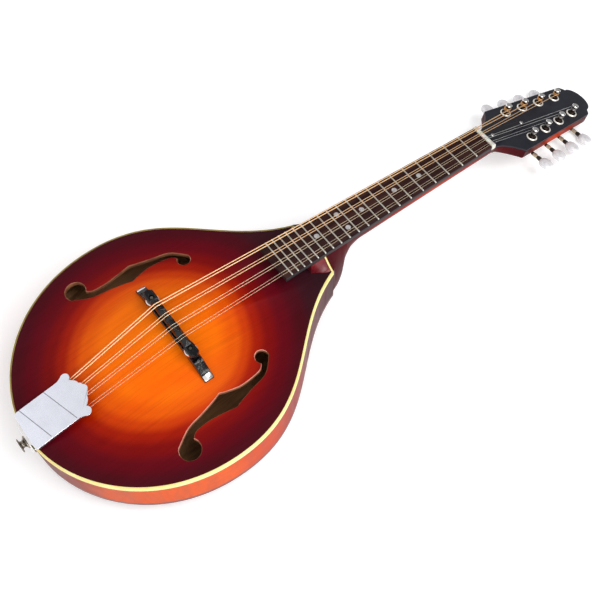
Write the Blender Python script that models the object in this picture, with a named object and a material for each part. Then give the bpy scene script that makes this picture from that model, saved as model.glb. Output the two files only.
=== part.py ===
"""A-style mandolin as separate pieces, in metres.

The instrument lies on its back. +X is the treble side, +Y runs towards the head and +Z comes out
of the top. The pieces are laid out with the bridge line at Y = 0 and heights measured from the top
of the rim, then moved together so that the origin is under the middle of the whole instrument.
"""

import math

import bmesh
import bpy
import numpy as np
from mathutils import Matrix, Vector

# Gaps between neighbours
SEAT_GAP = 0.0003
TURN_GAP = 0.0004

# Scale, frets and neck set
SCALE_LENGTH = 0.3524
FRET_COUNT = 20
JOINT_FRET = 15
NECK_ANGLE = math.radians(4.64)
BOARD_HEIGHT_AT_JOINT = 0.0159
BOARD_THICKNESS = 0.0050
BOARD_HALF_WIDTH_NUT = 0.0139
BOARD_HALF_WIDTH_END = 0.0206
BOARD_PAST_LAST_FRET = 0.0070
FRET_HEIGHT = 0.0010
FRET_FOOT = 0.0022
FRET_CROWN = 0.0009

# Nut
NUT_WIDTH = 0.0045
NUT_ABOVE_BOARD = 0.0016
NUT_HALF_LENGTH = 0.0140

# Body outline and rim
BODY_HALF_WIDTH = 0.1207
BODY_WIDEST_Y = -0.0143
BODY_TAIL_Y = -0.1465
SHOULDER_HALF_WIDTH = 0.0309
SHOULDER_LEAN = math.radians(20.7)
TAIL_PULL = 0.0558
WAIST_PULL_DOWN = 0.0827
WAIST_PULL_UP = 0.0805
SHOULDER_PULL = 0.0711
OUTLINE_STEPS = 12
RIM_DEPTH = 0.0440
RIB_THICKNESS = 0.0022
BINDING_THICKNESS = 0.0016
BINDING_HEIGHT = 0.0055
LINING_WIDTH = 0.0050
LINING_HEIGHT = 0.0080

# Carved plates
ARCH_CENTRE_Y = -0.0080
TOP_ARCH = 0.0150
TOP_ARCH_REACH = 0.84
TOP_THICKNESS = 0.0038
BACK_ARCH = 0.0175
BACK_ARCH_REACH = 0.90
BACK_THICKNESS = 0.0038
BACK_EDGE = 0.0040
INNER_REACH = 0.93
OUTER_RINGS = (0.0, 0.25, 0.45, 0.60, 0.74, 0.86, 1.0)
INNER_RINGS = (0.0, 0.35, 0.60, 0.80, 0.93, 1.0)

# Sound holes
EYE_UPPER_X = 0.0600
EYE_UPPER_Y = 0.0485
EYE_UPPER_RADIUS = 0.0055
EYE_LOWER_X = 0.0915
EYE_LOWER_Y = -0.0455
EYE_LOWER_RADIUS = 0.0093
NICK_INNER_X = 0.0670
NICK_OUTER_X = 0.0843
NICK_DEPTH = 0.0018
NICK_Y = 0.0030
SLOT_INNER_HIGH = ((0.0695, 0.0390), (0.0716, 0.0200))
SLOT_INNER_LOW = ((0.0728, -0.0200), (0.0765, -0.0370))
SLOT_OUTER_LOW = ((0.0818, -0.0330), (0.0808, -0.0200))
SLOT_OUTER_HIGH = ((0.0785, 0.0250), (0.0740, 0.0420))

# Blocks, bars and riser
HEAD_BLOCK_DEPTH = 0.0340
TAIL_BLOCK_DEPTH = 0.0160
TAIL_BLOCK_HALF_WIDTH = 0.0350
BAR_WIDTH = 0.0050
BAR_DEPTH = 0.0080
BAR_OFFSET = 0.0220
BAR_HALF_LENGTH = 0.0800
TENON_LENGTH = 0.0210
TENON_HALF_FRONT = 0.0075
TENON_HALF_BACK = 0.0100
TENON_TOP = -0.0080
TENON_BOTTOM = -0.0380
RISER_LENGTH = 0.0150
RAMP_SAG = 1.3

# Neck and heel
NECK_DEPTH_NUT = 0.0140
NECK_DEPTH_HEEL = 0.0172
HEEL_SHELF = 0.0163
HEEL_LENGTH = 0.0230
HEEL_FOOT = 0.0168
HEEL_SWEEP = 0.0240
EDGE_EASE = 0.0004

# Headstock
HEAD_ANGLE = math.radians(15.9)
HEAD_DROP = 0.0005
HEAD_THICKNESS = 0.0120
OVERLAY_THICKNESS = 0.0016
OVERLAY_START = 0.0064
HEAD_WAIST_U = 0.0090
HEAD_WAIST = 0.0122
HEAD_EAR_U = 0.0348
HEAD_EAR = 0.0302
HEAD_TOP_U = 0.1400
HEAD_TOP = 0.0223
HEAD_NOTCH_U = 0.1452
HEAD_NOTCH = 0.0158
HEAD_CROWN_U = 0.1552

# Tuners
ROW_START_U = 0.0543
ROW_START_X = 0.0189
ROW_PITCH = 0.0230
ROW_LEAN = math.radians(5.04)
POST_RADIUS = 0.0029
POST_WAIST = 0.0024
POST_CAP_RADIUS = 0.0033
POST_HEIGHT = 0.0106
POST_CAP_HEIGHT = 0.0019
FERRULE_RADIUS = 0.0056
FERRULE_HEIGHT = 0.0012
PLATE_THICKNESS = 0.0010
PLATE_HALF_WIDTH = 0.0068
PLATE_END = 0.0120
GEAR_HEIGHT = 0.0050
GEAR_TEETH = 14
GEAR_RADIUS = 0.0039
GEAR_DROP = 0.0035
WORM_OFFSET = 0.0058
WORM_RADIUS = 0.0017
WORM_HALF_LENGTH = 0.0038
SHAFT_RADIUS = 0.0012
LUG_THICKNESS = 0.0012
LUG_HALF_WIDTH = 0.0030
BUTTON_CENTRE = 0.0247
BUTTON_LENGTH = 0.0148
BUTTON_HALF_WIDTH = 0.0066
BUTTON_HALF_THICKNESS = 0.0037

# Truss rod and its cover
ROD_DEPTH = 0.0070
ROD_HALF_WIDTH = 0.0030
ROD_HALF_HEIGHT = 0.0034
ROD_START_PAST_JOINT = 0.0070
ROD_THREAD_RADIUS = 0.0020
ROD_NUT_RADIUS = 0.0034
ROD_NUT_LENGTH = 0.0080
POCKET_START = 0.0064
POCKET_LENGTH = 0.0150
POCKET_HALF_WIDTH = 0.0044
COVER_START_U = 0.0075
COVER_END_U = 0.0600
COVER_HALF_WIDTH = 0.0100
COVER_TIP_HALF_WIDTH = 0.0030
COVER_THICKNESS = 0.0018
COVER_SCREW_RADIUS = 0.0017
COVER_SCREW_HEIGHT = 0.0008

# Bridge
BASE_HALF_LENGTH = 0.0540
BASE_HALF_WIDTH = 0.0045
BASE_TOP = 0.0200
BASE_SHOULDER_X = 0.0380
BASE_TIP_X = 0.0500
BASE_TIP_TOP = 0.0128
STUD_X = 0.0295
STUD_RADIUS = 0.0018
STUD_EMBED = 0.0050
WHEEL_LIFT = 0.0020
WHEEL_RADIUS = 0.0058
WHEEL_THICKNESS = 0.0030
WHEEL_NOTCHES = 12
SADDLE_HALF_LENGTH = 0.0380
SADDLE_HALF_WIDTH = 0.0034
SADDLE_EAR_HALF_WIDTH = 0.0046
SADDLE_TOP = 0.0328
SADDLE_EAR_TOP = 0.0295
SADDLE_CROWN_X = 0.0235
SADDLE_RISE_RUN = 0.0030
SADDLE_SHOULDER = 0.0014
COURSE_SETBACK = (-0.0020, 0.0003, -0.0014, 0.0010)

# Strings
STRING_RADIUS = (0.00050, 0.00032, 0.00020, 0.00014)
COURSE_NAMES = ("g", "d", "a", "e")
NUT_COURSE_STEP = 0.0069
NUT_PAIR_HALF = 0.00105
BRIDGE_COURSE_STEP = 0.0125
BRIDGE_PAIR_HALF = 0.00135
HOOK_COURSE_STEP = 0.0095
HOOK_PAIR_HALF = 0.0012
WINDING_LOOPS = 3
WINDING_GAP = 0.00055
WINDING_POINTS = 12
WINDING_TOP = 0.0076
STRING_LIFT = 0.0001

# Tailpiece
HOOK_Y = -0.0985
HOOK_HEIGHT = 0.0022
HOOK_HALF = 0.0006
LEAF_FRONT_Y = -0.1010
LEAF_FRONT_TOP = 0.0073
LEAF_REAR_Y = -0.1380
LEAF_REAR_TOP = 0.0030
LEAF_THICKNESS = 0.0012
LEAF_HALF_WIDTH = 0.0178
LEAF_WAIST = 0.0100
FLANGE_HALF_WIDTH = 0.0125
FLANGE_SHOULDER = 0.0090
FLANGE_TIP_HALF_WIDTH = 0.0050
FLANGE_DEPTH = 0.0290
COVER_FRONT_Y = -0.0990
COVER_APEX_Y = -0.0840
COVER_LOBE_Y = -0.0955
COVER_LOBE_RADIUS = 0.0042
COVER_BREAK_Y = -0.1350
COVER_REAR_Y = -0.1452
COVER_CORNER = 0.0026
COVER_FRONT_TOP = 0.0147
COVER_BREAK_TOP = 0.0072
COVER_REAR_TOP = 0.0052
COVER_SHEET = 0.0010
COVER_OUT_HALF_WIDTH = 0.0192
COVER_SKIRT = 0.0035
COVER_OUTER_NOTCH = 0.50
COVER_INNER_NOTCH = 0.30
COVER_OUTER_BOW = 0.0012
COVER_INNER_BOW = 0.0006
COVER_CENTRE_BOW = 0.0024
SCREW_HEAD_RADIUS = 0.0022
SCREW_HEAD_HEIGHT = 0.0011
SCREW_SHANK_RADIUS = 0.0012
SCREW_LENGTH = 0.0110
SCREW_X = 0.0052
SCREW_Z = -0.0210

# End pin
PIN_Z = -0.0115
PIN_SHANK_RADIUS = 0.0035
PIN_SHANK_LENGTH = 0.0170
PIN_COLLAR_RADIUS = 0.0062
PIN_COLLAR_THICKNESS = 0.0014
PIN_NECK_RADIUS = 0.0032
PIN_HEAD_RADIUS = 0.0065
PIN_HEAD_THICKNESS = 0.0013
PIN_LENGTH = 0.0068

JOINT_Y = SCALE_LENGTH * 2 ** (-JOINT_FRET / 12)
NUT_Y = SCALE_LENGTH
PLATE_CENTRE = np.array([0.0, ARCH_CENTRE_Y])
SIDES = {"bass": -1, "treble": 1}


def fret_y(number):
    """Distance of a fret from the bridge line."""
    return SCALE_LENGTH * 2 ** (-number / 12)


BOARD_END_Y = fret_y(FRET_COUNT) - BOARD_PAST_LAST_FRET


def board_top(y):
    """Height of the fingerboard's face."""
    return BOARD_HEIGHT_AT_JOINT - (y - JOINT_Y) * math.tan(NECK_ANGLE)


def board_under(y):
    return board_top(y) - BOARD_THICKNESS


def board_half_width(y):
    share = (NUT_Y - y) / (NUT_Y - BOARD_END_Y)
    return BOARD_HALF_WIDTH_NUT + (BOARD_HALF_WIDTH_END - BOARD_HALF_WIDTH_NUT) * share


def smooth(value):
    """Ease from 0 to 1 with flat ends."""
    value = min(max(value, 0.0), 1.0)
    return value * value * (3 - 2 * value)


def between(low, high, share):
    return low + (high - low) * share


# Frame of the headstock: x, distance u along the face from the nut, height n above the face
HEAD_FRAME = Matrix.Translation((0, NUT_Y, board_under(NUT_Y) - HEAD_DROP)) @ Matrix.Rotation(
    -HEAD_ANGLE, 4, "X"
)

# Colours, roughness and metallic value of the finishes
FINISHES = {
    "sunburst_top": ((0.72, 0.20, 0.03), 0.35, 0.0),
    "stained_maple": ((0.42, 0.09, 0.04), 0.35, 0.0),
    "raw_spruce": ((0.62, 0.45, 0.26), 0.70, 0.0),
    "raw_maple": ((0.60, 0.46, 0.30), 0.65, 0.0),
    "cream_binding": ((0.86, 0.80, 0.50), 0.35, 0.0),
    "neck_stain": ((0.30, 0.05, 0.03), 0.35, 0.0),
    "black_lacquer": ((0.015, 0.015, 0.018), 0.45, 0.0),
    "rosewood": ((0.10, 0.045, 0.035), 0.55, 0.0),
    "bone": ((0.88, 0.86, 0.80), 0.40, 0.0),
    "ebony_black": ((0.02, 0.018, 0.018), 0.25, 0.0),
    "nickel": ((0.82, 0.81, 0.80), 0.15, 1.0),
    "bronze_wound": ((0.72, 0.48, 0.22), 0.30, 1.0),
    "plain_steel": ((0.78, 0.78, 0.78), 0.20, 1.0),
    "brass": ((0.80, 0.62, 0.32), 0.25, 1.0),
    "pearloid": ((0.82, 0.82, 0.84), 0.30, 0.0),
    "black_plastic": ((0.02, 0.02, 0.02), 0.35, 0.0),
    "rod_steel": ((0.45, 0.45, 0.46), 0.40, 1.0),
}


def finish(name):
    if name in bpy.data.materials:
        return bpy.data.materials[name]
    made = bpy.data.materials.new(name)
    made.use_nodes = True
    shader = made.node_tree.nodes["Principled BSDF"]
    colour, roughness, metallic = FINISHES[name]
    shader.inputs["Base Color"].default_value = (*colour, 1.0)
    shader.inputs["Roughness"].default_value = roughness
    shader.inputs["Metallic"].default_value = metallic
    return made


def add_piece(name, solid, look, place=None, crease=35.0):
    """Make one closed mesh object from (points, faces)."""
    points, faces = solid
    mesh = bpy.data.meshes.new(name)
    mesh.from_pydata([tuple(p) for p in points], [], faces)
    shape = bmesh.new()
    shape.from_mesh(mesh)
    bmesh.ops.recalc_face_normals(shape, faces=shape.faces)
    shape.to_mesh(mesh)
    shape.free()
    mesh.shade_smooth()
    mesh.set_sharp_from_angle(angle=math.radians(crease))
    made = bpy.data.objects.new(name, mesh)
    bpy.context.scene.collection.objects.link(made)
    made.data.materials.append(finish(look))
    if place is not None:
        made.matrix_world = place
    return made


def loft(rings):
    """Skin a list of rings of equal count and cap both ends."""
    count = len(rings[0])
    points = [p for ring in rings for p in ring]
    faces = [tuple(range(count))[::-1]]
    for row in range(len(rings) - 1):
        for k in range(count):
            a = row * count + k
            b = row * count + (k + 1) % count
            faces.append((a, b, b + count, a + count))
    last = (len(rings) - 1) * count
    faces.append(tuple(range(last, last + count)))
    return points, faces


def ring_solid(rings):
    """Skin a closed loop of rings, as in a hoop."""
    count = len(rings[0])
    points = [p for ring in rings for p in ring]
    faces = []
    for row in range(len(rings)):
        after = (row + 1) % len(rings)
        for k in range(count):
            side = (k + 1) % count
            faces.append((row * count + k, row * count + side, after * count + side, after * count + k))
    return points, faces


def prism(outline, low, high):
    """Raise a flat outline between two heights."""
    return loft([[(x, y, low) for x, y in outline], [(x, y, high) for x, y in outline]])


def box(low, high):
    corners = [(low[0], low[1]), (high[0], low[1]), (high[0], high[1]), (low[0], high[1])]
    return prism(corners, low[2], high[2])


def turned(profile, sides, start_angle=0.0):
    """Turn (radius, height) pairs about Z; both ends are flat discs."""
    rings = []
    for radius, height in profile:
        angles = [start_angle + 2 * math.pi * k / sides for k in range(sides)]
        rings.append([(radius * math.cos(a), radius * math.sin(a), height) for a in angles])
    return loft(rings)


def hoop(inner, outer, low, high, sides, notch=0.0):
    """A flat ring about Z, with every second outer point drawn in by the notch."""
    rings = []
    for k in range(sides):
        angle = 2 * math.pi * k / sides
        rim = outer - notch * (k % 2)
        c, s = math.cos(angle), math.sin(angle)
        pairs = ((inner, low), (rim, low), (rim, high), (inner, high))
        rings.append([(r * c, r * s, z) for r, z in pairs])
    return ring_solid(rings)


def boolean(target, tool, operation):
    """Apply one exact Boolean and drop the tool."""
    step = target.modifiers.new("Boolean", "BOOLEAN")
    step.operation = operation
    step.solver = "EXACT"
    step.object = tool
    bpy.context.view_layer.update()
    graph = bpy.context.evaluated_depsgraph_get()
    mesh = bpy.data.meshes.new_from_object(target.evaluated_get(graph))
    old = target.data
    target.modifiers.clear()
    target.data = mesh
    mesh.name = target.name
    bpy.data.meshes.remove(old)
    bpy.data.objects.remove(tool)
    mesh.shade_smooth()
    mesh.set_sharp_from_angle(angle=math.radians(35.0))


def cut(target, solid, place=None):
    boolean(target, add_piece("tool", solid, "bone", place), "DIFFERENCE")


def join(target, solid, place=None):
    boolean(target, add_piece("tool", solid, "bone", place), "UNION")


def bezier(start, pull_start, pull_end, end, share):
    rest = 1 - share
    return (
        rest**3 * start + 3 * share * rest**2 * pull_start + 3 * share**2 * rest * pull_end + share**3 * end
    )


def half_outline():
    """Treble half of the body outline, from the tail to the shoulder."""
    tail = np.array([0.0, BODY_TAIL_Y])
    wide = np.array([BODY_HALF_WIDTH, BODY_WIDEST_Y])
    shoulder = np.array([SHOULDER_HALF_WIDTH, JOINT_Y])
    lean = np.array([math.sin(SHOULDER_LEAN), -math.cos(SHOULDER_LEAN)])
    points = []
    for k in range(OUTLINE_STEPS):
        share = k / OUTLINE_STEPS
        pulled = (tail + [TAIL_PULL, 0], wide - [0, WAIST_PULL_DOWN])
        points.append(bezier(tail, *pulled, wide, share))
    for k in range(OUTLINE_STEPS + 1):
        share = k / OUTLINE_STEPS
        pulled = (wide + [0, WAIST_PULL_UP], shoulder + SHOULDER_PULL * lean)
        points.append(bezier(wide, *pulled, shoulder, share))
    return points


def inset_side(distance):
    """Treble half outline moved inwards, its last point kept on the joint line."""
    points = half_outline()
    moved = []
    for k, point in enumerate(points):
        before = points[k - 1] if k else point - np.array([1.0, 0.0])
        after = points[k + 1] if k + 1 < len(points) else point
        run = (after - before) if k else np.array([1.0, 0.0])
        run = run / np.hypot(*run)
        moved.append(point + distance * np.array([-run[1], run[0]]))
    run = moved[-1] - moved[-2]
    moved[-1] = moved[-1] + run * (JOINT_Y - moved[-1][1]) / run[1]
    return moved


def body_outline(distance, front_setback, front_stations=(1.0,)):
    """Closed outline, inset at the sides by one distance and at the front by another."""
    side = inset_side(distance)
    run = side[-1] - side[-2]
    side[-1] = side[-1] - run * front_setback / run[1]
    edge_x, edge_y = side[-1]
    right = [tuple(p) for p in side]
    front = [(edge_x * s, edge_y) for s in front_stations if abs(s) < 1.0]
    left = [(-x, y) for x, y in right[:0:-1]]
    return right + front + left


PLATE_EDGE = body_outline(BINDING_THICKNESS + SEAT_GAP, BINDING_THICKNESS + SEAT_GAP, (0.6, 0.0, -0.6))


def plate_share(x, y):
    """0 at the plate's centre, 1 on its edge."""
    edge = np.array(PLATE_EDGE) - PLATE_CENTRE
    angles = np.unwrap(np.arctan2(edge[:, 1], edge[:, 0]))
    offset = np.array([x, y]) - PLATE_CENTRE
    angle = math.atan2(offset[1], offset[0])
    while angle < angles[0]:
        angle += 2 * math.pi
    lengths = np.append(np.hypot(edge[:, 0], edge[:, 1]), np.hypot(*edge[0]))
    angles = np.append(angles, angles[0] + 2 * math.pi)
    return float(np.hypot(*offset) / np.interp(angle, angles, lengths))


def dome(share, reach):
    if share >= reach:
        return 0.0
    return (1 - (share / reach) ** 2) ** 2


def arch(share, rings, reach):
    """Height of a dome that is straight between its rings, from 1 at the centre to 0."""
    return float(np.interp(share, rings, [dome(ring, reach) for ring in rings]))


def top_outside(share):
    return TOP_ARCH * arch(share, OUTER_RINGS, TOP_ARCH_REACH)


def top_inside(share):
    rise = TOP_ARCH - TOP_THICKNESS + BINDING_HEIGHT
    return -BINDING_HEIGHT + rise * arch(share, INNER_RINGS, INNER_REACH)


def back_outside(share):
    return -RIM_DEPTH - BACK_ARCH * arch(share, OUTER_RINGS, BACK_ARCH_REACH)


def back_inside(share):
    rise = BACK_ARCH - BACK_THICKNESS + BACK_EDGE
    return -RIM_DEPTH + BACK_EDGE - rise * arch(share, INNER_RINGS, INNER_REACH)


def top_height(x, y):
    return top_outside(plate_share(x, y))


def carved_plate(outline, outside, inside):
    """A plate whose two faces are domes over one outline."""
    points = []
    faces = []
    count = len(outline)
    rims = []
    for face, rings in ((outside, OUTER_RINGS), (inside, INNER_RINGS)):
        start = len(points)
        points.append((0.0, ARCH_CENTRE_Y, face(0.0)))
        for share in rings[1:]:
            for x, y in outline:
                points.append((share * x, between(ARCH_CENTRE_Y, y, share), face(share)))
        rims.append(len(points) - count)
        for k in range(count):
            after = (k + 1) % count
            faces.append((start, start + 1 + k, start + 1 + after))
            for row in range(len(rings) - 2):
                a = start + 1 + row * count
                faces.append((a + k, a + count + k, a + count + after, a + after))
    for k in range(count):
        after = (k + 1) % count
        faces.append((rims[0] + k, rims[0] + after, rims[1] + after, rims[1] + k))
    return points, faces


def catmull(knots, steps):
    """Smooth curve through its knots."""
    knots = [np.array(k) for k in knots]
    points = []
    for k in range(len(knots) - 1):
        before = knots[max(k - 1, 0)]
        after = knots[min(k + 2, len(knots) - 1)]
        a, b = knots[k], knots[k + 1]
        for step in range(steps):
            t = step / steps
            point = 2 * a + (b - before) * t + (2 * before - 5 * a + 4 * b - after) * t**2
            point = point + (3 * a - before - 3 * b + after) * t**3
            points.append(tuple(point / 2))
    points.append(tuple(knots[-1]))
    return points


def arc(x, y, radius, start, end, steps):
    angles = [math.radians(between(start, end, k / steps)) for k in range(steps + 1)]
    return [(x + radius * math.cos(a), y + radius * math.sin(a)) for a in angles]


def sound_hole_outline(side):
    """One f-hole: two round eyes joined by a waisted slot with a nick on each side."""
    upper = arc(EYE_UPPER_X, EYE_UPPER_Y, EYE_UPPER_RADIUS, 75, 320, 7)
    lower = arc(EYE_LOWER_X, EYE_LOWER_Y, EYE_LOWER_RADIUS, -130, 128, 9)
    inner, outer = NICK_INNER_X + NICK_DEPTH, NICK_OUTER_X - NICK_DEPTH
    reach = 2 * NICK_Y
    inner_high = catmull([upper[-1], *SLOT_INNER_HIGH, (inner, NICK_Y + NICK_DEPTH)], 2)
    inner_low = catmull([(inner, -NICK_Y - NICK_DEPTH), *SLOT_INNER_LOW, lower[0]], 2)
    outer_low = catmull([lower[-1], *SLOT_OUTER_LOW, (outer, reach - 3 * NICK_Y - NICK_DEPTH)], 2)
    outer_high = catmull([(outer, reach + NICK_Y + NICK_DEPTH), *SLOT_OUTER_HIGH, upper[0]], 2)
    points = upper[:-1] + inner_high + [(NICK_INNER_X, 0.0)] + inner_low + lower[1:-1]
    points = points + outer_low + [(NICK_OUTER_X, reach)] + outer_high[:-1]
    return [(side * x, y) for x, y in points]


def make_top_plate():
    solid = carved_plate(PLATE_EDGE, top_outside, top_inside)
    plate = add_piece("top_plate", solid, "sunburst_top", crease=40.0)
    for side in SIDES.values():
        cut(plate, prism(sound_hole_outline(side), -RIM_DEPTH / 2, 2 * TOP_ARCH))


def make_back_plate():
    outline = body_outline(0.0, 0.0, (0.6, 0.0, -0.6))
    add_piece("back_plate", carved_plate(outline, back_outside, back_inside), "stained_maple")


def rim_strip(outer, inner, low, high, side):
    """A strip that follows one half of the rim between two insets."""
    rings = []
    for a, b in zip(outer, inner):
        x_out = max(a[0], SEAT_GAP / 2)
        x_in = max(b[0], SEAT_GAP / 2)
        ring = [(side * x_out, a[1], low), (side * x_out, a[1], high)]
        ring += [(side * x_in, b[1], high), (side * x_in, b[1], low)]
        rings.append(ring)
    return loft(rings)


RIB_LOW = -RIM_DEPTH + BACK_EDGE + SEAT_GAP
RIB_HIGH = -BINDING_HEIGHT - SEAT_GAP


def make_ribs():
    for name, side in SIDES.items():
        solid = rim_strip(inset_side(0.0), inset_side(RIB_THICKNESS), RIB_LOW, RIB_HIGH, side)
        rib = add_piece(f"rib_{name}", solid, "stained_maple")
        cut_tail_holes(rib)


def make_linings():
    start = RIB_THICKNESS + SEAT_GAP
    outer = inset_side(start)
    inner = inset_side(start + LINING_WIDTH)
    first = next(k for k, p in enumerate(outer) if p[0] > TAIL_BLOCK_HALF_WIDTH + 2 * SEAT_GAP)
    last = max(k for k, p in enumerate(outer) if p[1] < JOINT_Y - HEAD_BLOCK_DEPTH - SEAT_GAP)
    keep = slice(first, last + 1)
    for name, side in SIDES.items():
        for edge, low, high in (
            ("top", RIB_HIGH - LINING_HEIGHT, RIB_HIGH),
            ("back", RIB_LOW, RIB_LOW + LINING_HEIGHT),
        ):
            solid = rim_strip(outer[keep], inner[keep], low, high, side)
            add_piece(f"{edge}_lining_{name}", solid, "raw_maple")


def make_head_block():
    side = inset_side(RIB_THICKNESS + SEAT_GAP)
    back_y = JOINT_Y - HEAD_BLOCK_DEPTH
    last = max(k for k, p in enumerate(side) if p[1] < back_y)
    below, above = side[last], side[last + 1]
    share = (back_y - below[1]) / (above[1] - below[1])
    corner = below + (above - below) * share
    right = [tuple(corner)] + [tuple(p) for p in side[last + 1 :]]
    slot_front = TENON_HALF_FRONT + SEAT_GAP
    slot_back = TENON_HALF_BACK + SEAT_GAP
    slot_y = JOINT_Y - TENON_LENGTH - SEAT_GAP
    slot = [(slot_front, JOINT_Y), (slot_back, slot_y), (-slot_back, slot_y), (-slot_front, JOINT_Y)]
    left = [(-x, y) for x, y in right[::-1]]
    add_piece("head_block", prism(right + slot + left, RIB_LOW, RIB_HIGH), "raw_maple")


def make_tail_block():
    side = inset_side(RIB_THICKNESS + SEAT_GAP)
    last = next(k for k, p in enumerate(side) if p[0] > TAIL_BLOCK_HALF_WIDTH)
    right = [tuple(p) for p in side[:last]]
    share = (TAIL_BLOCK_HALF_WIDTH - right[-1][0]) / (side[last][0] - right[-1][0])
    right.append(tuple(np.array(right[-1]) + (side[last] - np.array(right[-1])) * share))
    inner_y = side[0][1] + TAIL_BLOCK_DEPTH
    outline = right + [(TAIL_BLOCK_HALF_WIDTH, inner_y), (-TAIL_BLOCK_HALF_WIDTH, inner_y)]
    outline += [(-x, y) for x, y in right[:0:-1]]
    block = add_piece("tail_block", prism(outline, RIB_LOW, RIB_HIGH), "raw_maple")
    cut_tail_holes(block)


def tail_axis(x, z):
    """Frame whose Z points out of the tail."""
    return Matrix.Translation((x, BODY_TAIL_Y, z)) @ Matrix.Rotation(math.pi / 2, 4, "X")


def cut_tail_holes(target):
    """Holes for the end pin and the two tailpiece screws."""
    reach = PIN_SHANK_LENGTH + PIN_LENGTH
    radius = PIN_SHANK_RADIUS + SEAT_GAP
    pin_hole = turned([(radius, -reach), (radius, reach)], 12, math.pi / 12)
    cut(target, pin_hole, tail_axis(0.0, PIN_Z))
    for side in SIDES.values():
        radius = SCREW_SHANK_RADIUS + SEAT_GAP
        screw_hole = turned([(radius, -SCREW_LENGTH - SEAT_GAP), (radius, reach)], 8, math.pi / 8)
        cut(target, screw_hole, tail_axis(side * SCREW_X, SCREW_Z))


def make_tone_bars():
    """Two braces glued under the top, thinner towards their ends."""
    for name, side in SIDES.items():
        rings = []
        for k in range(13):
            share = 2 * k / 12 - 1
            y = ARCH_CENTRE_Y + share * BAR_HALF_LENGTH
            x = side * BAR_OFFSET
            seat = min(
                top_inside(plate_share(x - BAR_WIDTH / 2, y)), top_inside(plate_share(x + BAR_WIDTH / 2, y))
            )
            high = seat - SEAT_GAP
            low = high - BAR_DEPTH * (1 - 0.6 * share * share)
            left, right = x - BAR_WIDTH / 2, x + BAR_WIDTH / 2
            rings.append([(left, y, low), (right, y, low), (right, y, high), (left, y, high)])
        add_piece(f"tone_bar_{name}", loft(rings), "raw_spruce")


def ramp_height(x, edge_half_width, edge_z, top_half_width, top_z):
    """Height of the slope that climbs from the rim to the fingerboard's side."""
    if abs(x) <= top_half_width:
        return top_z
    share = (edge_half_width - abs(x)) / (edge_half_width - top_half_width)
    return edge_z + (top_z - edge_z) * max(share, 0.0) ** RAMP_SAG


RAMP_SHARES = (1.0, 0.75, 0.5, 0.25, 0.0)


def make_binding():
    """Cream strip round the top, with a thin wall that climbs to the board at the neck."""
    outer_side = inset_side(0.0)
    inner_side = inset_side(BINDING_THICKNESS)
    front_y = JOINT_Y - BINDING_THICKNESS
    run = inner_side[-1] - inner_side[-2]
    inner_side[-1] = inner_side[-1] - run * BINDING_THICKNESS / run[1]
    stations = [(a[0], a[1], b[0], b[1], 0.0) for a, b in zip(outer_side, inner_side)]
    edge_x, inner_x = outer_side[-1][0], inner_side[-1][0]
    under = board_under(JOINT_Y) - SEAT_GAP
    half = board_half_width(JOINT_Y)
    for share in RAMP_SHARES[1:]:
        x = half + (edge_x - half) * share
        x_in = half + (inner_x - half) * share
        stations.append((x, JOINT_Y, x_in, front_y, ramp_height(x, edge_x, 0.0, half, under)))
    mirrored = [(-a, b, -c, d, e) for a, b, c, d, e in stations[:0:-1]]
    rings = []
    for x_out, y_out, x_in, y_in, top in stations + mirrored:
        low = -BINDING_HEIGHT
        rings.append([(x_out, y_out, low), (x_out, y_out, top), (x_in, y_in, top), (x_in, y_in, low)])
    add_piece("top_binding", ring_solid(rings), "cream_binding")


def ramp_ring(y, foot, edge_half_width, edge_z, top_z):
    """Cross-section of the riser or the heel's shelf at one place along the neck."""
    half = board_half_width(y)
    xs = [half + (edge_half_width - half) * s for s in RAMP_SHARES]
    slope = [(x, y, ramp_height(x, edge_half_width, edge_z, half, top_z)) for x in xs]
    mirrored = [(-x, y, z) for x, y, z in slope[::-1]]
    return [(edge_half_width, y, foot)] + slope + mirrored + [(-edge_half_width, y, foot)]


def make_riser():
    """Glued block that carries the fingerboard past the joint."""
    front_y = JOINT_Y - BINDING_THICKNESS - SEAT_GAP
    rings = []
    for k in range(7):
        share = k / 6
        y = front_y - RISER_LENGTH * (1 - share)
        wide = SHOULDER_HALF_WIDTH - BINDING_THICKNESS - SEAT_GAP
        edge = between(board_half_width(y) + EDGE_EASE, wide, smooth(share) ** 0.7)
        foot = top_height(0.0, y) + SEAT_GAP
        rings.append(ramp_ring(y, foot, edge, foot + 2 * SEAT_GAP, board_under(y) - SEAT_GAP))
    add_piece("fretboard_riser", loft(rings), "sunburst_top")


def make_fretboard():
    """Tapered board, its frets standing on its face."""
    stations = [(BOARD_END_Y, 0.0)]
    for number in range(FRET_COUNT, 0, -1):
        y = fret_y(number)
        for offset, height in (
            (-FRET_FOOT / 2, 0.0),
            (-FRET_CROWN / 2, FRET_HEIGHT),
            (FRET_CROWN / 2, FRET_HEIGHT),
            (FRET_FOOT / 2, 0.0),
        ):
            stations.append((y + offset, height))
    stations.append((NUT_Y, 0.0))
    rings = []
    for y, height in stations:
        half = board_half_width(y)
        top = board_top(y) + height
        rings.append([(-half, y, board_under(y)), (half, y, board_under(y)), (half, y, top), (-half, y, top)])
    add_piece("fretboard", loft(rings), "rosewood", crease=20.0)


def make_nut():
    start = NUT_Y + SEAT_GAP
    end = start + NUT_WIDTH
    low = board_under(end) - SEAT_GAP + 2 * SEAT_GAP
    high = board_top(NUT_Y) + NUT_ABOVE_BOARD
    rounding = NUT_WIDTH / 4
    profile = [(start, low), (end, low), (end, high - 2 * rounding), (end - rounding, high - rounding / 2)]
    profile += [(between(start, end, 0.5), high), (start, high)]
    ends = []
    for x in (-NUT_HALF_LENGTH, NUT_HALF_LENGTH):
        ends.append([(x, y, z) for y, z in profile])
    add_piece("nut", loft(ends), "bone")


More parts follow.
